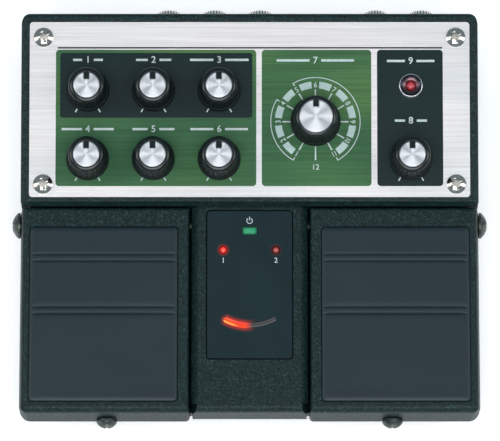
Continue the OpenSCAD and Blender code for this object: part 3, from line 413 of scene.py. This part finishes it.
tail = node(tree, "ShaderNodeMath", {0: tail, 1: edge}, operation="MULTIPLY")
mixed = node(tree, "ShaderNodeMix", {"Factor": tail, "A": dull, "B": lit}, data_type="RGBA")
strength = node(tree, "ShaderNodeMapRange", {"Value": tail, "To Min": 0.12, "To Max": 0.75})
feed(tree, shader, {"Base Color": mixed, "Emission Color": mixed, "Emission Strength": strength})

# Red lamp lens: dyed clear resin with a bright core and a darker rim, the left lamp lit and the right one dim
red_lens, tree, shader = material("red_lamp_lens", Roughness=0.15)
where, axes, core = from_spot(tree, PEDAL, 0.0, -LAMP_S, (LAMP_X, 0.0, 0.0), "X")
cloud = node(tree, "ShaderNodeTexNoise", {"Vector": where, "Scale": 1 / (1.1 * MM)})
core = node(tree, "ShaderNodeMath", {0: cloud, 1: 0.5, 2: core}, operation="MULTIPLY_ADD")
share = node(tree, "ShaderNodeMapRange", {"Value": core, "From Min": 0.2, "From Max": 1.9})
full = node(tree, "ShaderNodeValToRGB", {"Fac": share}, (
    (0.0, "#f2594a"), (0.4, "#e23c30"), (0.66, "#a8201a"), (0.9, "#5c1412"),
))
dim = node(tree, "ShaderNodeValToRGB", {"Fac": share}, (
    (0.0, "#c0645c"), (0.35, "#9c4640"), (0.6, "#6c2a28"), (0.85, "#3c1a1b"),
))
side = node(tree, "ShaderNodeMath", {0: axes["X"], 1: 0.0}, operation="GREATER_THAN")
mixed = node(tree, "ShaderNodeMix", {"Factor": side, "A": full, "B": dim}, data_type="RGBA")
strength = node(tree, "ShaderNodeMapRange", {"Value": side, "To Min": 0.7, "To Max": 0.4})
feed(tree, shader, {"Base Color": mixed, "Emission Color": mixed, "Emission Strength": strength})

# Peak lamp lens: the same resin, unlit, so a deep red with a darker rim
peak_lens, tree, shader = material("unlit_red_lens", Roughness=0.2)
where, _, reach = from_spot(tree, DECK, *PEAK)
cloud = node(tree, "ShaderNodeTexNoise", {"Vector": where, "Scale": 1 / (0.9 * MM)})
reach = node(tree, "ShaderNodeMath", {0: cloud, 1: 0.8, 2: reach}, operation="MULTIPLY_ADD")
share = node(tree, "ShaderNodeMapRange", {"Value": reach, "From Min": 0.3, "From Max": 2.6})
feed(tree, shader, {"Base Color": node(tree, "ShaderNodeValToRGB", {"Fac": share}, (
    (0.0, "#d2565e"), (0.4, "#c23c46"), (0.66, "#8c1e28"), (0.88, "#480c12"),
))})

# Black chrome of the cup round the peak lamp: dark and glossy, with a painted red reflection of the lens and a paler
# pink ring of painted reflection round it
black_chrome, tree, shader = material("black_chrome", Metallic=1.0, Roughness=0.28)
where, _, reach = from_spot(tree, DECK, *PEAK)
haze = node(tree, "ShaderNodeTexNoise", {"Vector": where, "Scale": 1 / (1.4 * MM), "Detail": 2.0})
reach = node(tree, "ShaderNodeMath", {0: haze, 1: 0.4, 2: reach}, operation="MULTIPLY_ADD")
# Painted reflection: red next to the lens, a pale pink ring, then the chrome's own dark grey
share = node(tree, "ShaderNodeMapRange", {"Value": reach, "From Min": 2.0, "From Max": 4.2})
feed(tree, shader, {"Base Color": node(tree, "ShaderNodeValToRGB", {"Fac": share}, (
    (0.0, "#5a2a30"), (0.24, "#74565a"), (0.5, "#4a434a"), (1.0, "#2e3038"),
))})

# Green lamp lens, lit from behind: mottled, and darker towards its edges
green_lens, tree, shader = material("green_lamp_lens", Roughness=0.3, Emission_Strength=0.25)
where, axes = on_surface(tree, PEDAL, 0.0, -POWER_S)
cloud = node(tree, "ShaderNodeTexNoise", {"Vector": where, "Scale": 1 / (0.7 * MM)})
middle = node(tree, "ShaderNodeMath", {0: cloud, 1: 0.5}, operation="ADD")
for axis, start, end in (("X", 1.5, 3.0), ("Y", 0.5, 1.7)):
    off = node(tree, "ShaderNodeMath", {0: axes[axis]}, operation="ABSOLUTE")
    share = node(tree, "ShaderNodeMapRange", {"Value": off, "From Min": start, "From Max": end, **FALL}, **SOFT)
    middle = node(tree, "ShaderNodeMath", {0: middle, 1: share}, operation="MULTIPLY")
shine = node(tree, "ShaderNodeValToRGB", {"Fac": middle}, ((0.0, "#083a28"), (0.5, "#156844"), (1.0, "#3a9a6e")))
feed(tree, shader, {"Base Color": shine, "Emission Color": shine})

# Tyre-black rubber of the feet: matt, slightly dusty
foot_rubber = mottled("black_rubber", 2.5, "#141515", "#242525", 3.0, Roughness=0.75)[0]

# Near-black, matt finish that gives almost no light back: a painted shadow for the seam round the window
seam_shadow_black = mottled("painted_seam_shadow", 0.4, "#020607", "#0a1415", 2.0, (0.35, 0.65), Roughness=1.0, Specular_IOR_Level=0.08)[0]

# Painted steel sheet of the base: flat black with a light orange-peel
plate_paint, tree, shader, _, peel = mottled("painted_steel_sheet", 1.4, "#1c1e1f", "#2a2d2e", Roughness=0.5)
bump = node(tree, "ShaderNodeBump", {"Height": peel, "Strength": 0.2, "Distance": 0.1 * MM})
feed(tree, shader, {"Normal": bump})

# Green circuit laminate: woven glass, in a check of two greens under its lacquer
laminate, tree, shader = material("circuit_laminate", Roughness=0.35)
where = node(tree, "ShaderNodeTexCoord").outputs["Object"]
weave = node(tree, "ShaderNodeTexChecker", {
    "Vector": where, "Scale": 1 / (0.6 * MM), "Color1": linear("#1d5a38"), "Color2": linear("#256743"),
})
feed(tree, shader, {"Base Color": weave})

# Tinned steel of the control cases: dull silver with slow clouds
tin = mottled("tinned_steel", 3.3, "#94979a", "#b6b9bb", 3.0, Metallic=1.0, Roughness=0.35)[0]

# Moulded black plastic of the sockets, trays and bushes: satin, faintly sparked
moulded = mottled("moulded_black_plastic", 0.65, "#131414", "#1e2020", Roughness=0.45)[0]

# Plain wrapped cells: dull brass-yellow film
cell_wrap = mottled("cell_wrap_film", 8, "#8c7733", "#a58f45", Roughness=0.4)[0]

# Natural nylon of the plungers: milky and waxy
nylon = mottled("natural_nylon", 5, "#c9c6bb", "#dedbd2", Roughness=0.45)[0]

# Turned steel of the control shafts: bright, with fine turning marks
shaft_steel = mottled("turned_steel", 0.8, "#9c9fa2", "#bfc1c3", 1.0, Metallic=1.0, Roughness=0.28)[0]

FINISHES = {
    cast_paint: ["housing", "pedal_left", "pedal_right"], plate_paint: ["base_plate"], panel_metal: ["control_panel"],
    nickel: ["base_screws"], jack_nickel: ["jack_nuts", "jack_sockets"], screw_nickel: ["panel_screws"],
    chrome: ["peak_bezel"], black_steel: ["pivot_screws", "pivot_pins", "thumbscrew_left", "thumbscrew_right"],
    window_smoke: ["indicator_window"], guide_acrylic: ["light_guide"], red_lens: ["status_leds"],
    peak_lens: ["peak_led"], green_lens: ["power_led"], laminate: ["main_board", "indicator_board", "jack_board"],
    tin: ["pot_bodies", "mode_switch"], moulded: ["dc_socket", "battery_trays", "foot_switches", "guide_bushes"],
    cell_wrap: ["battery_cells"], nylon: ["plunger_left", "plunger_right"],
    knob_abs: [f"{dial}_knob" for dial in DIALS], rim_metal: [f"{dial}_cap" for dial in DIALS],
    shaft_steel: [f"{dial}_shaft" for dial in DIALS],
}
for finish, names in FINISHES.items():
    for name in names:
        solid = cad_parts[name]
        solid.data.materials.clear()
        solid.data.materials.append(finish)


def dress(name, mesh, body, finish, smooth=False):
    """Makes a finished piece of a mesh that is already in its place."""
    made = bpy.data.objects.new(name, mesh)
    mesh.materials.clear()
    mesh.materials.append(finish)
    mesh.shade_smooth() if smooth else mesh.shade_flat()
    scene.collection.objects.link(made)
    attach(made, body)
    return made


def mesh_of(shape, name, matrix):
    """Turns a bmesh into a mesh in its place, with its faces outward."""
    bmesh.ops.recalc_face_normals(shape, faces=shape.faces)
    mesh = bpy.data.meshes.new(name)
    shape.to_mesh(mesh)
    shape.free()
    mesh.transform(matrix)
    return mesh


def skin(shape, rings):
    """Adds faces between neighbouring rings of as many points."""
    for a, b in zip(rings, rings[1:]):
        for i in range(len(a)):
            j = (i + 1) % len(a)
            shape.faces.new((a[i], a[j], b[j], b[i]))


def slab(shape, points, low, high):
    """Adds a closed plate with the given outline, anticlockwise, between two heights."""
    under = [shape.verts.new((x, y, low)) for x, y in points]
    over = [shape.verts.new((x, y, high)) for x, y in points]
    shape.faces.new(over)
    shape.faces.new(under[::-1])
    skin(shape, (under, over))


def turned(shape, profile, steps=48, ring=False):
    """Adds a closed disc, or a ring, made by turning a profile of radius and height."""
    angles = [2 * math.pi * i / steps for i in range(steps)]
    rings = [[shape.verts.new((r * math.cos(a), r * math.sin(a), z)) for a in angles] for r, z in profile]
    skin(shape, rings + rings[:1] if ring else rings)
    if not ring:
        shape.faces.new(rings[0])
        shape.faces.new(rings[-1])
    return [point for ring_points in rings for point in ring_points]


def field(x0, y0, x1, y1, r=1.0, steps=6):
    """Outline of a rectangle with rounded corners, anticlockwise."""
    points = []
    for cx, cy, turn in ((x1 - r, y1 - r, 0), (x0 + r, y1 - r, 90), (x0 + r, y0 + r, 180), (x1 - r, y0 + r, 270)):
        for i in range(steps + 1):
            a = math.radians(turn + 90 * i / steps)
            points.append((cx + r * math.cos(a), cy + r * math.sin(a)))
    return points


# Printed fields of the panel: two green, two black and a black line above them
shape = bmesh.new()
slab(shape, field(-70.1, FIELD_LOW, 2.4, FIELD_HIGH, FIELD_R), 0.0, INK)
slab(shape, field(4.4, FIELD_LOW, 44.0, FIELD_HIGH, FIELD_R), 0.0, INK)
dress("green_fields", mesh_of(shape, "green_fields", place(DECK)), "chassis", green_ink)
shape = bmesh.new()
slab(shape, field(-68.55, 30.65, 1.0, 54.35), INK, 2 * INK)
slab(shape, field(46.1, FIELD_LOW, 69.9, FIELD_HIGH, FIELD_R), 0.0, INK)
slab(shape, field(-69.5, 55.95, 69.8, 56.5, 0.2), 0.0, INK)
dress("black_fields", mesh_of(shape, "black_fields", place(DECK)), "chassis", black_ink)


# Tree of marks round a dial: Count marks, each an arc of Span degrees between two radii, Step degrees apart
marks = bpy.data.node_groups.new("dial_marks", "GeometryNodeTree")
marks.interface.new_socket("Geometry", in_out="OUTPUT", socket_type="NodeSocketGeometry")
for name, kind in (
    ("Count", "Int"), ("Fineness", "Int"), ("First", "Float"), ("Step", "Float"), ("Inner", "Float"),
    ("Outer", "Float"), ("Span", "Float"), ("Thickness", "Float"), ("Finish", "Material"),
):
    marks.interface.new_socket(name, in_out="INPUT", socket_type=f"NodeSocket{kind}")
given = node(marks, "NodeGroupInput").outputs
grid = node(marks, "GeometryNodeMeshGrid", {
    "Size X": 1.0, "Size Y": 1.0, "Vertices X": given["Fineness"], "Vertices Y": 2,
})
at = node(marks, "ShaderNodeSeparateXYZ", {0: node(marks, "GeometryNodeInputPosition")}).outputs
span = node(marks, "ShaderNodeMath", {0: given["Span"]}, operation="RADIANS")
angle = node(marks, "ShaderNodeMath", {0: at["X"], 1: span}, operation="MULTIPLY")
share = node(marks, "ShaderNodeMath", {0: at["Y"], 1: 0.5}, operation="ADD")
radius = node(marks, "ShaderNodeMapRange", {"Value": share, "To Min": given["Inner"], "To Max": given["Outer"]})
sine = node(marks, "ShaderNodeMath", {0: angle}, operation="SINE")
cosine = node(marks, "ShaderNodeMath", {0: angle}, operation="COSINE")
polar = node(marks, "ShaderNodeCombineXYZ", {
    "X": node(marks, "ShaderNodeMath", {0: radius, 1: sine}, operation="MULTIPLY"),
    "Y": node(marks, "ShaderNodeMath", {0: radius, 1: cosine}, operation="MULTIPLY"),
})
bent = node(marks, "GeometryNodeSetPosition", {"Geometry": grid, "Position": polar})
raised = node(marks, "GeometryNodeExtrudeMesh", {
    "Mesh": bent, "Offset Scale": given["Thickness"], "Individual": False,
})
under = node(marks, "GeometryNodeFlipFaces", {"Mesh": bent})
both = node(marks, "GeometryNodeJoinGeometry", {0: raised})
feed(marks, both, {0: under})
closed = node(marks, "GeometryNodeMergeByDistance", {"Geometry": both, "Distance": 0.002})
line = node(marks, "GeometryNodeMeshLine", {"Count": given["Count"], "Offset": (0.0, 0.0, 0.0)})
number = node(marks, "GeometryNodeInputIndex")
turn = node(marks, "ShaderNodeMath", {0: number, 1: given["Step"], 2: given["First"]}, operation="MULTIPLY_ADD")
turn = node(marks, "ShaderNodeMath", {0: turn}, operation="RADIANS")
turn = node(marks, "ShaderNodeMath", {0: turn, 1: -1.0}, operation="MULTIPLY")
spread = node(marks, "GeometryNodeInstanceOnPoints", {
    "Points": line, "Instance": closed, "Rotation": node(marks, "ShaderNodeCombineXYZ", {"Z": turn}),
})
real = node(marks, "GeometryNodeRealizeInstances", {"Geometry": spread})
painted = node(marks, "GeometryNodeSetMaterial", {"Geometry": real, "Material": given["Finish"]})
node(marks, "NodeGroupOutput", {"Geometry": painted})


def grown(tree, name, values, matrix):
    """Evaluates a tree on an empty mesh and gives the plain mesh in its place."""
    seed = bpy.data.objects.new(name, bpy.data.meshes.new(name))
    scene.collection.objects.link(seed)
    maker = seed.modifiers.new("maker", "NODES")
    maker.node_group = tree
    for item in tree.interface.items_tree:
        if item.item_type == "SOCKET" and item.in_out == "INPUT" and item.name in values:
            maker[item.identifier] = values[item.name]
    bpy.context.view_layer.update()
    evaluated = seed.evaluated_get(bpy.context.evaluated_depsgraph_get())
    mesh = bpy.data.meshes.new_from_object(evaluated)
    seed.modifiers.remove(maker)
    bpy.data.objects.remove(seed)
    mesh.transform(matrix)
    return mesh


def gather(name, meshes, body, finish):
    """One piece of several meshes that are already in their places."""
    shape = bmesh.new()
    for mesh in meshes:
        shape.from_mesh(mesh)
        bpy.data.meshes.remove(mesh)
    joined = bpy.data.meshes.new(name)
    shape.to_mesh(joined)
    shape.free()
    return dress(name, joined, body, finish)


def ring_marks(name, matrix, finish=pale_ink, **values):
    """Printed marks round a middle, one unless the values say so; the values are named as the tree's inputs."""
    plain = {"Count": 1, "Fineness": 2, "Step": 0.0, "Thickness": INK, "Finish": finish}
    return grown(marks, name, {**plain, **values}, matrix)


# The selector's ticks and brackets, ticks at the ends of each other dial's turn, and the selector's grey bands
on_selector = place(DECK, MODE_X, MODE_S, INK)
pale = [
    ring_marks("selector_ticks", on_selector, Count=11, First=SELECTOR_FIRST, Step=SELECTOR_STEP,
               Inner=8.9, Outer=11.9, Span=2.5),
    ring_marks("selector_low_tick", on_selector, First=180.0, Inner=9.0, Outer=14.0, Span=2.4),
]
for first, last in ((-150.0, -60.0), (-30.0, 150.0)):
    middle, span = (first + last) / 2, last - first
    pale += [
        ring_marks("bracket", on_selector, Fineness=40, First=middle, Inner=16.0, Outer=16.3, Span=span),
        ring_marks("bracket_ends", on_selector, Count=2, First=first, Step=span, Inner=15.0, Outer=16.3, Span=1.3),
    ]
for dial, (x, s, skirt_r, _) in DIALS.items():
    if dial != "mode":
        pale.append(ring_marks("end_ticks", place(DECK, x, s, 2 * INK), Count=2, First=-150.0, Step=300.0,
                               Inner=skirt_r - 0.3, Outer=skirt_r + 1.3, Span=3.0))
bands = ring_marks("bands", on_selector, grey_ink, Count=10, Fineness=9, First=SELECTOR_FIRST + SELECTOR_STEP / 2,
                   Step=SELECTOR_STEP, Inner=12.2, Outer=14.7, Span=18.4)
gather("selector_bands", [bands], "chassis", grey_ink)


def figure(text, size, matrix, bold=0.012):
    """Mesh of a printed figure, centred on its place."""
    curve = bpy.data.curves.new("figure", "FONT")
    curve.body = text
    curve.size = size / FIGURE_SHARE
    curve.align_x, curve.align_y = "CENTER", "CENTER"
    curve.extrude = INK / 2
    curve.offset = bold * size
    curve.resolution_u = 4
    made = bpy.data.objects.new("figure", curve)
    scene.collection.objects.link(made)
    bpy.context.view_layer.update()
    mesh = bpy.data.meshes.new_from_object(made.evaluated_get(bpy.context.evaluated_depsgraph_get()))
    bpy.data.objects.remove(made)
    bpy.data.curves.remove(curve)
    mesh.transform(matrix)
    return mesh


def bars(spans, matrix):
    """Mesh of plain printed bars, each given by its corners."""
    shape = bmesh.new()
    for x0, y0, x1, y1 in spans:
        slab(shape, field(x0, y0, x1, y1, 0.12, 3), 0.0, INK)
    return mesh_of(shape, "bars", matrix)


# The selector's numbers stand on the circle with their heads outward, narrowed where they have two figures;
# the last stands upright under its long tick
NUMBER_R, LAST_NUMBER_R, NUMBER_SIZE, LEGEND_SIZE = 13.4, 16.6, 2.0, 2.5
for i in range(11):
    turn = Matrix.Rotation(math.radians(-SELECTOR_FIRST - SELECTOR_STEP * i), 4, "Z")
    squeeze = Matrix.Diagonal((0.72 if i > 8 else 0.92, 1, 1, 1))
    at = place(DECK, MODE_X, MODE_S, 1.5 * INK) @ turn @ Matrix.Translation((0, NUMBER_R, 0)) @ squeeze
    pale.append(figure(str(i + 1), NUMBER_SIZE, at))
pale.append(figure("12", NUMBER_SIZE, place(DECK, MODE_X, MODE_S - LAST_NUMBER_R, 1.5 * INK)))

# Each control has a plain number between two bars: number, place across, place up the slope, reach of the bars
LEGENDS = (
    ("1", -58.5, 51.8, 5.4), ("2", -34.75, 51.8, 6.4), ("3", -11.0, 51.8, 10.6),
    ("4", -58.5, 26.5, 9.4), ("5", -34.75, 26.5, 7.6), ("6", -11.0, 26.5, 10.4),
    ("7", 23.8, 51.6, 14.0), ("8", 58.3, 29.6, 5.8), ("9", 58.3, 51.4, 8.6),
)
BAR_FROM, BAR_HALF = 2.1, 0.42
for text, x, s, reach in LEGENDS:
    pale.append(figure(text, LEGEND_SIZE, place(DECK, x, s, 2.5 * INK), 0.02))
    pale.append(bars([
        (-reach, -BAR_HALF, -BAR_FROM, BAR_HALF), (BAR_FROM, -BAR_HALF, reach, BAR_HALF),
    ], place(DECK, x, s, 2 * INK)))
gather("panel_legends", pale, "chassis", pale_ink)

# The window's printed signs: an open ring and bar over the power lamp, and plain numbers under the status lamps
on_sign = place(PEDAL, 0, -SIGN_S, WINDOW_H)
signs = [
    ring_marks("power_ring", on_sign, Fineness=28, First=180.0, Inner=0.85, Outer=1.15, Span=290.0),
    bars([(-0.16, 0.1, 0.16, 1.5)], on_sign),
    figure("1", 1.9, place(PEDAL, -LAMP_X, -LAMP_NUMBER_S, WINDOW_H + INK / 2), 0.02),
    figure("2", 1.9, place(PEDAL, LAMP_X, -LAMP_NUMBER_S, WINDOW_H + INK / 2), 0.02),
]
gather("window_signs", signs, "chassis", pale_ink)


# A fine black lip round the window: a painted shadow laid in the seam between the window and the casting
shape = bmesh.new()
inside, outside = (
    field(-WINDOW_W / 2 - e, -WINDOW_L / 2 - e, WINDOW_W / 2 + e, WINDOW_L / 2 + e, 1.0 + e) for e in (-0.06, 0.4)
)
lips = ((inside, 0.0), (inside, 0.07), (outside, 0.07), (outside, 0.0))
rings = [[shape.verts.new((x, y, z)) for x, y in edge] for edge, z in lips]
skin(shape, rings + rings[:1])
dress("window_seam_shadow", mesh_of(shape, "window_seam_shadow", place(PEDAL, 0, -WINDOW_S, WINDOW_H)), "chassis", seam_shadow_black)


# Edge strips of the casting: one under the deck's front edge, and a slope down each side of the bridge
DECK_STRIP, DECK_STRIP_END = [(1.2, 33.3), (0.45, 31.3), (0.45, 30.9), (1.2, 30.9)], 81.6
BRIDGE_STRIPS = (
    [(18.6, -0.02), (19.2, -1.75), (20.95, -1.75)], [(-18.6, -0.02), (-20.95, -1.75), (-19.2, -1.75)],
)
BRIDGE_BACK, BRIDGE_FRONT = -0.4, 71.5
shape = bmesh.new()
slab(shape, DECK_STRIP, -DECK_STRIP_END, DECK_STRIP_END)
across = Matrix(((0, 0, 1, 0), (1, 0, 0, 0), (0, 1, 0, 0), (0, 0, 0, 1)))
dress("deck_strip", mesh_of(shape, "deck_strip", Matrix.Scale(MM, 4) @ across), "chassis", cast_paint)
shape = bmesh.new()
for section in BRIDGE_STRIPS:
    slab(shape, section, BRIDGE_BACK, BRIDGE_FRONT)
down = place(PEDAL, 0, 0, WINDOW_H) @ Matrix.Rotation(math.radians(90), 4, "X")
dress("bridge_strips", mesh_of(shape, "bridge_strips", down), "chassis", cast_paint)


def pad_mesh(side):
    """Rubber pad: crowned, with a soft edge and corners, and two bands, each between a pair of fine grooves."""
    half_w, half_l, corner, low = PAD_W / 2, PAD_L / 2, 1.5, -1.1
    crown, edge_drop, edge_r, lip, lip_in, lip_w = 0.1, 0.62, 1.25, 0.07, 1.7, 0.45
    groove, groove_w, groove_in, groove_run = 0.5, 0.27, 1.1, 0.9
    near_edge = [0.0, 0.12, 0.3, 0.6, 1.0, 1.6, 2.6, 5.0]
    columns = [half_w * k / 6 for k in range(-4, 5)]
    columns = [e - half_w for e in near_edge] + columns + [half_w - e for e in near_edge[::-1]]
    rows = {e - half_l for e in near_edge} | {half_l - e for e in near_edge}
    rows |= {half_l * k / 14 for k in range(-12, 13)}
    for g in PAD_GROOVES:
        for e in (-0.62, -0.42, -0.26, -0.14, 0.0, 0.14, 0.26, 0.42, 0.62):
            rows.add(half_l - g + e)
    shape = bmesh.new()
    grid = []
    for y in sorted(rows):
        end = half_l - abs(y)
        pull = 0.0 if end >= corner else corner - math.sqrt(max(corner ** 2 - (corner - end) ** 2, 0.0))
        line = []
        for x in columns:
            edge = min(end, half_w - abs(x))
            fall = edge_drop * (1 - math.sqrt(max(1 - (1 - min(edge / edge_r, 1.0)) ** 2, 0.0)))
            rise = lip * math.exp(-((edge - lip_in) / lip_w) ** 2)
            cut = max(groove * math.exp(-((y - (half_l - g)) / groove_w) ** 2) for g in PAD_GROOVES)
            cut *= min(max((edge - groove_in) / groove_run, 0.0), 1.0)
            swell = crown * (1 - (x / half_w) ** 2) * (1 - (y / half_l) ** 2)
            top = PAD_PROUD - crown - fall + rise - cut + swell
            line.append(shape.verts.new((x * (half_w - pull) / half_w, y, top)))
        grid.append(line)
    for a, b in zip(grid, grid[1:]):
        for i in range(len(columns) - 1):
            shape.faces.new((a[i], a[i + 1], b[i + 1], b[i]))
    rim = grid[0] + [line[-1] for line in grid[1:-1]] + grid[-1][::-1] + [line[0] for line in grid[-2:0:-1]]
    foot = [shape.verts.new((v.co.x, v.co.y, low)) for v in rim]
    skin(shape, (foot, rim))
    shape.faces.new(foot[::-1])
    return mesh_of(shape, f"pad_{side}", place(PEDAL, PAD_X if side == "right" else -PAD_X, -PAD_BACK - PAD_L / 2))


for side in ("left", "right"):
    pad = dress(f"rubber_pad_{side}", pad_mesh(side), f"pedal_{side}", pad_rubber, smooth=True)
    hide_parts(f"pad_{side}")


# Rubber feet: a turned button with a rounded tread edge and a screw recess
FOOT = [
    (2.5, 1.0), (2.5, 0.25), (2.75, 0.0), (6.9, 0.0), (7.25, 0.08), (7.5, 0.35), (7.6, 0.7), (7.95, 2.7), (7.9, 3.0),
]
shape = bmesh.new()
for x in (-FOOT_X, FOOT_X):
    for y in FOOT_Y:
        bmesh.ops.translate(shape, verts=turned(shape, FOOT), vec=(x, y, 0))
feet = dress("rubber_buttons", mesh_of(shape, "rubber_buttons", Matrix.Scale(MM, 4)), "chassis", foot_rubber,
             smooth=True)
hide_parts("rubber_feet")


# Cup round the peak lamp: a dished ring between the bezel's rim and the lens
shape = bmesh.new()
turned(shape, [
    (1.78, 0.42), (1.85, 0.52), (2.4, 0.6), (3.1, 0.84), (3.7, 1.24), (3.96, 1.46), (3.9, 1.3), (3.1, 0.72), (1.9, 0.4),
], ring=True)
dress("lamp_cup", mesh_of(shape, "lamp_cup", place(DECK, *PEAK)), "chassis", black_chrome, smooth=True)


# Polished collars round the dial caps: a quarter of an ellipse from the cap's edge down to the flutes
COLLAR_GAP, COLLAR_PROUD, COLLAR_FALL, COLLAR_THICK = 0.08, 0.18, 1.2, 0.4
for dial, (x, s, skirt_r, cap_r) in DIALS.items():
    inner, outer = cap_r + COLLAR_GAP, skirt_r - (1.4 if dial == "mode" else 1.15)
    profile = [(inner, KNOB_H - COLLAR_THICK)]
    for i in range(11):
        a = math.radians(9 * i)
        down = COLLAR_FALL * (1 - math.cos(a))
        profile.append((inner + (outer - inner) * math.sin(a), KNOB_H + COLLAR_PROUD - down))
    profile.append((outer - COLLAR_THICK, KNOB_H - COLLAR_FALL))
    shape = bmesh.new()
    turned(shape, profile, ring=True)
    dress(f"{dial}_collar", mesh_of(shape, f"{dial}_collar", place(DECK, x, s)), f"{dial}_dial", collar_abs,
          smooth=True)


def cap_face(cap_r):
    """Spun face of a dial's cap, a little domed, with the pointer's notch left open."""
    steps, edge, notch_x, notch_y = 96, cap_r - 0.22, 1.12, cap_r - 2.72
    lift, dome, thick = 0.02, 0.03, 0.1
    shape = bmesh.new()
    angles = [2 * math.pi * i / steps for i in range(steps)]
    rings = [
        [shape.verts.new((edge * r * math.cos(a), edge * r * math.sin(a), lift - dome * r ** 2)) for a in angles]
        for r in (0.004, 0.03, 0.1, 0.2, 0.35, 0.5, 0.65, 0.8, 0.92, 1.0)
    ]
    shape.faces.new(rings[0])
    skin(shape, rings)
    for point, normal in (
        ((-notch_x, 0, 0), (1, 0, 0)), ((notch_x, 0, 0), (1, 0, 0)), ((0, notch_y, 0), (0, 1, 0)),
    ):
        parts = shape.verts[:] + shape.edges[:] + shape.faces[:]
        bmesh.ops.bisect_plane(shape, geom=parts, plane_co=point, plane_no=normal)
    middles = {f: f.calc_center_median() for f in shape.faces}
    notch = [f for f, at in middles.items() if abs(at.x) < notch_x and at.y > notch_y]
    bmesh.ops.delete(shape, geom=notch, context="FACES")
    rim = [e for e in shape.edges if e.is_boundary]
    wall = bmesh.ops.extrude_edge_only(shape, edges=rim)["geom"]
    bmesh.ops.translate(shape, verts=[v for v in wall if isinstance(v, bmesh.types.BMVert)], vec=(0, 0, -thick))
    bmesh.ops.edgeloop_fill(shape, edges=[e for e in wall if isinstance(e, bmesh.types.BMEdge) and e.is_boundary])
    return shape


# Each point of a cap's face keeps its ray from the middle and its radius, for the turned metal
tilt = Matrix.Rotation(math.radians(DECK[3]), 3, "X")
for dial, (x, s, _, cap_r) in DIALS.items():
    mesh = mesh_of(cap_face(cap_r), f"{dial}_cap_face", Matrix.Identity(4))
    flat = [Vector((vertex.co.x, vertex.co.y, 0)) for vertex in mesh.vertices]
    ray = mesh.attributes.new("ray", "FLOAT_VECTOR", "POINT")
    ray.data.foreach_set("vector", [value for spot in flat for value in tilt @ spot.normalized()])
    radius = mesh.attributes.new("radius", "FLOAT", "POINT")
    radius.data.foreach_set("value", [spot.length for spot in flat])
    mesh.transform(place(DECK, x, s, KNOB_H + CAP_PROUD))
    dress(f"{dial}_cap_face", mesh, f"{dial}_dial", cap_metal, smooth=True)


# Coil springs under the pedals: round wire wound on a path
WIRE, TURNS, COIL_R = 0.55, 7.0, 4.2
coil = bpy.data.node_groups.new("coil_spring", "GeometryNodeTree")
coil.interface.new_socket("Geometry", in_out="OUTPUT", socket_type="NodeSocketGeometry")
for name in ("Turns", "Radius", "Height", "Wire"):
    coil.interface.new_socket(name, in_out="INPUT", socket_type="NodeSocketFloat")
coil.interface.new_socket("Finish", in_out="INPUT", socket_type="NodeSocketMaterial")
given = node(coil, "NodeGroupInput").outputs
wound = node(coil, "GeometryNodeCurveSpiral", {
    "Resolution": 40, "Rotations": given["Turns"], "Start Radius": given["Radius"], "End Radius": given["Radius"],
    "Height": given["Height"],
})
wire = node(coil, "GeometryNodeCurvePrimitiveCircle", {"Resolution": 12, "Radius": given["Wire"]})
swept = node(coil, "GeometryNodeCurveToMesh", {"Curve": wound, "Profile Curve": wire, "Fill Caps": True})
real = node(coil, "GeometryNodeRealizeInstances", {"Geometry": swept})
painted = node(coil, "GeometryNodeSetMaterial", {"Geometry": real, "Material": given["Finish"]})
node(coil, "NodeGroupOutput", {"Geometry": painted})
for side in ("left", "right"):
    low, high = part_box(f"pedal_spring_{side}")
    middle = (low + high) / 2 / MM
    mesh = grown(coil, f"coil_{side}", {
        "Turns": TURNS, "Radius": COIL_R, "Height": (high.z - low.z) / MM - 2 * WIRE, "Wire": WIRE, "Finish": nickel,
    }, Matrix.Scale(MM, 4) @ Matrix.Translation((middle.x, middle.y, low.z / MM + WIRE)))
    spring = dress(f"coil_spring_{side}", mesh, "chassis", nickel, smooth=True)
    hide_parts(f"pedal_spring_{side}")
    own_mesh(spring)
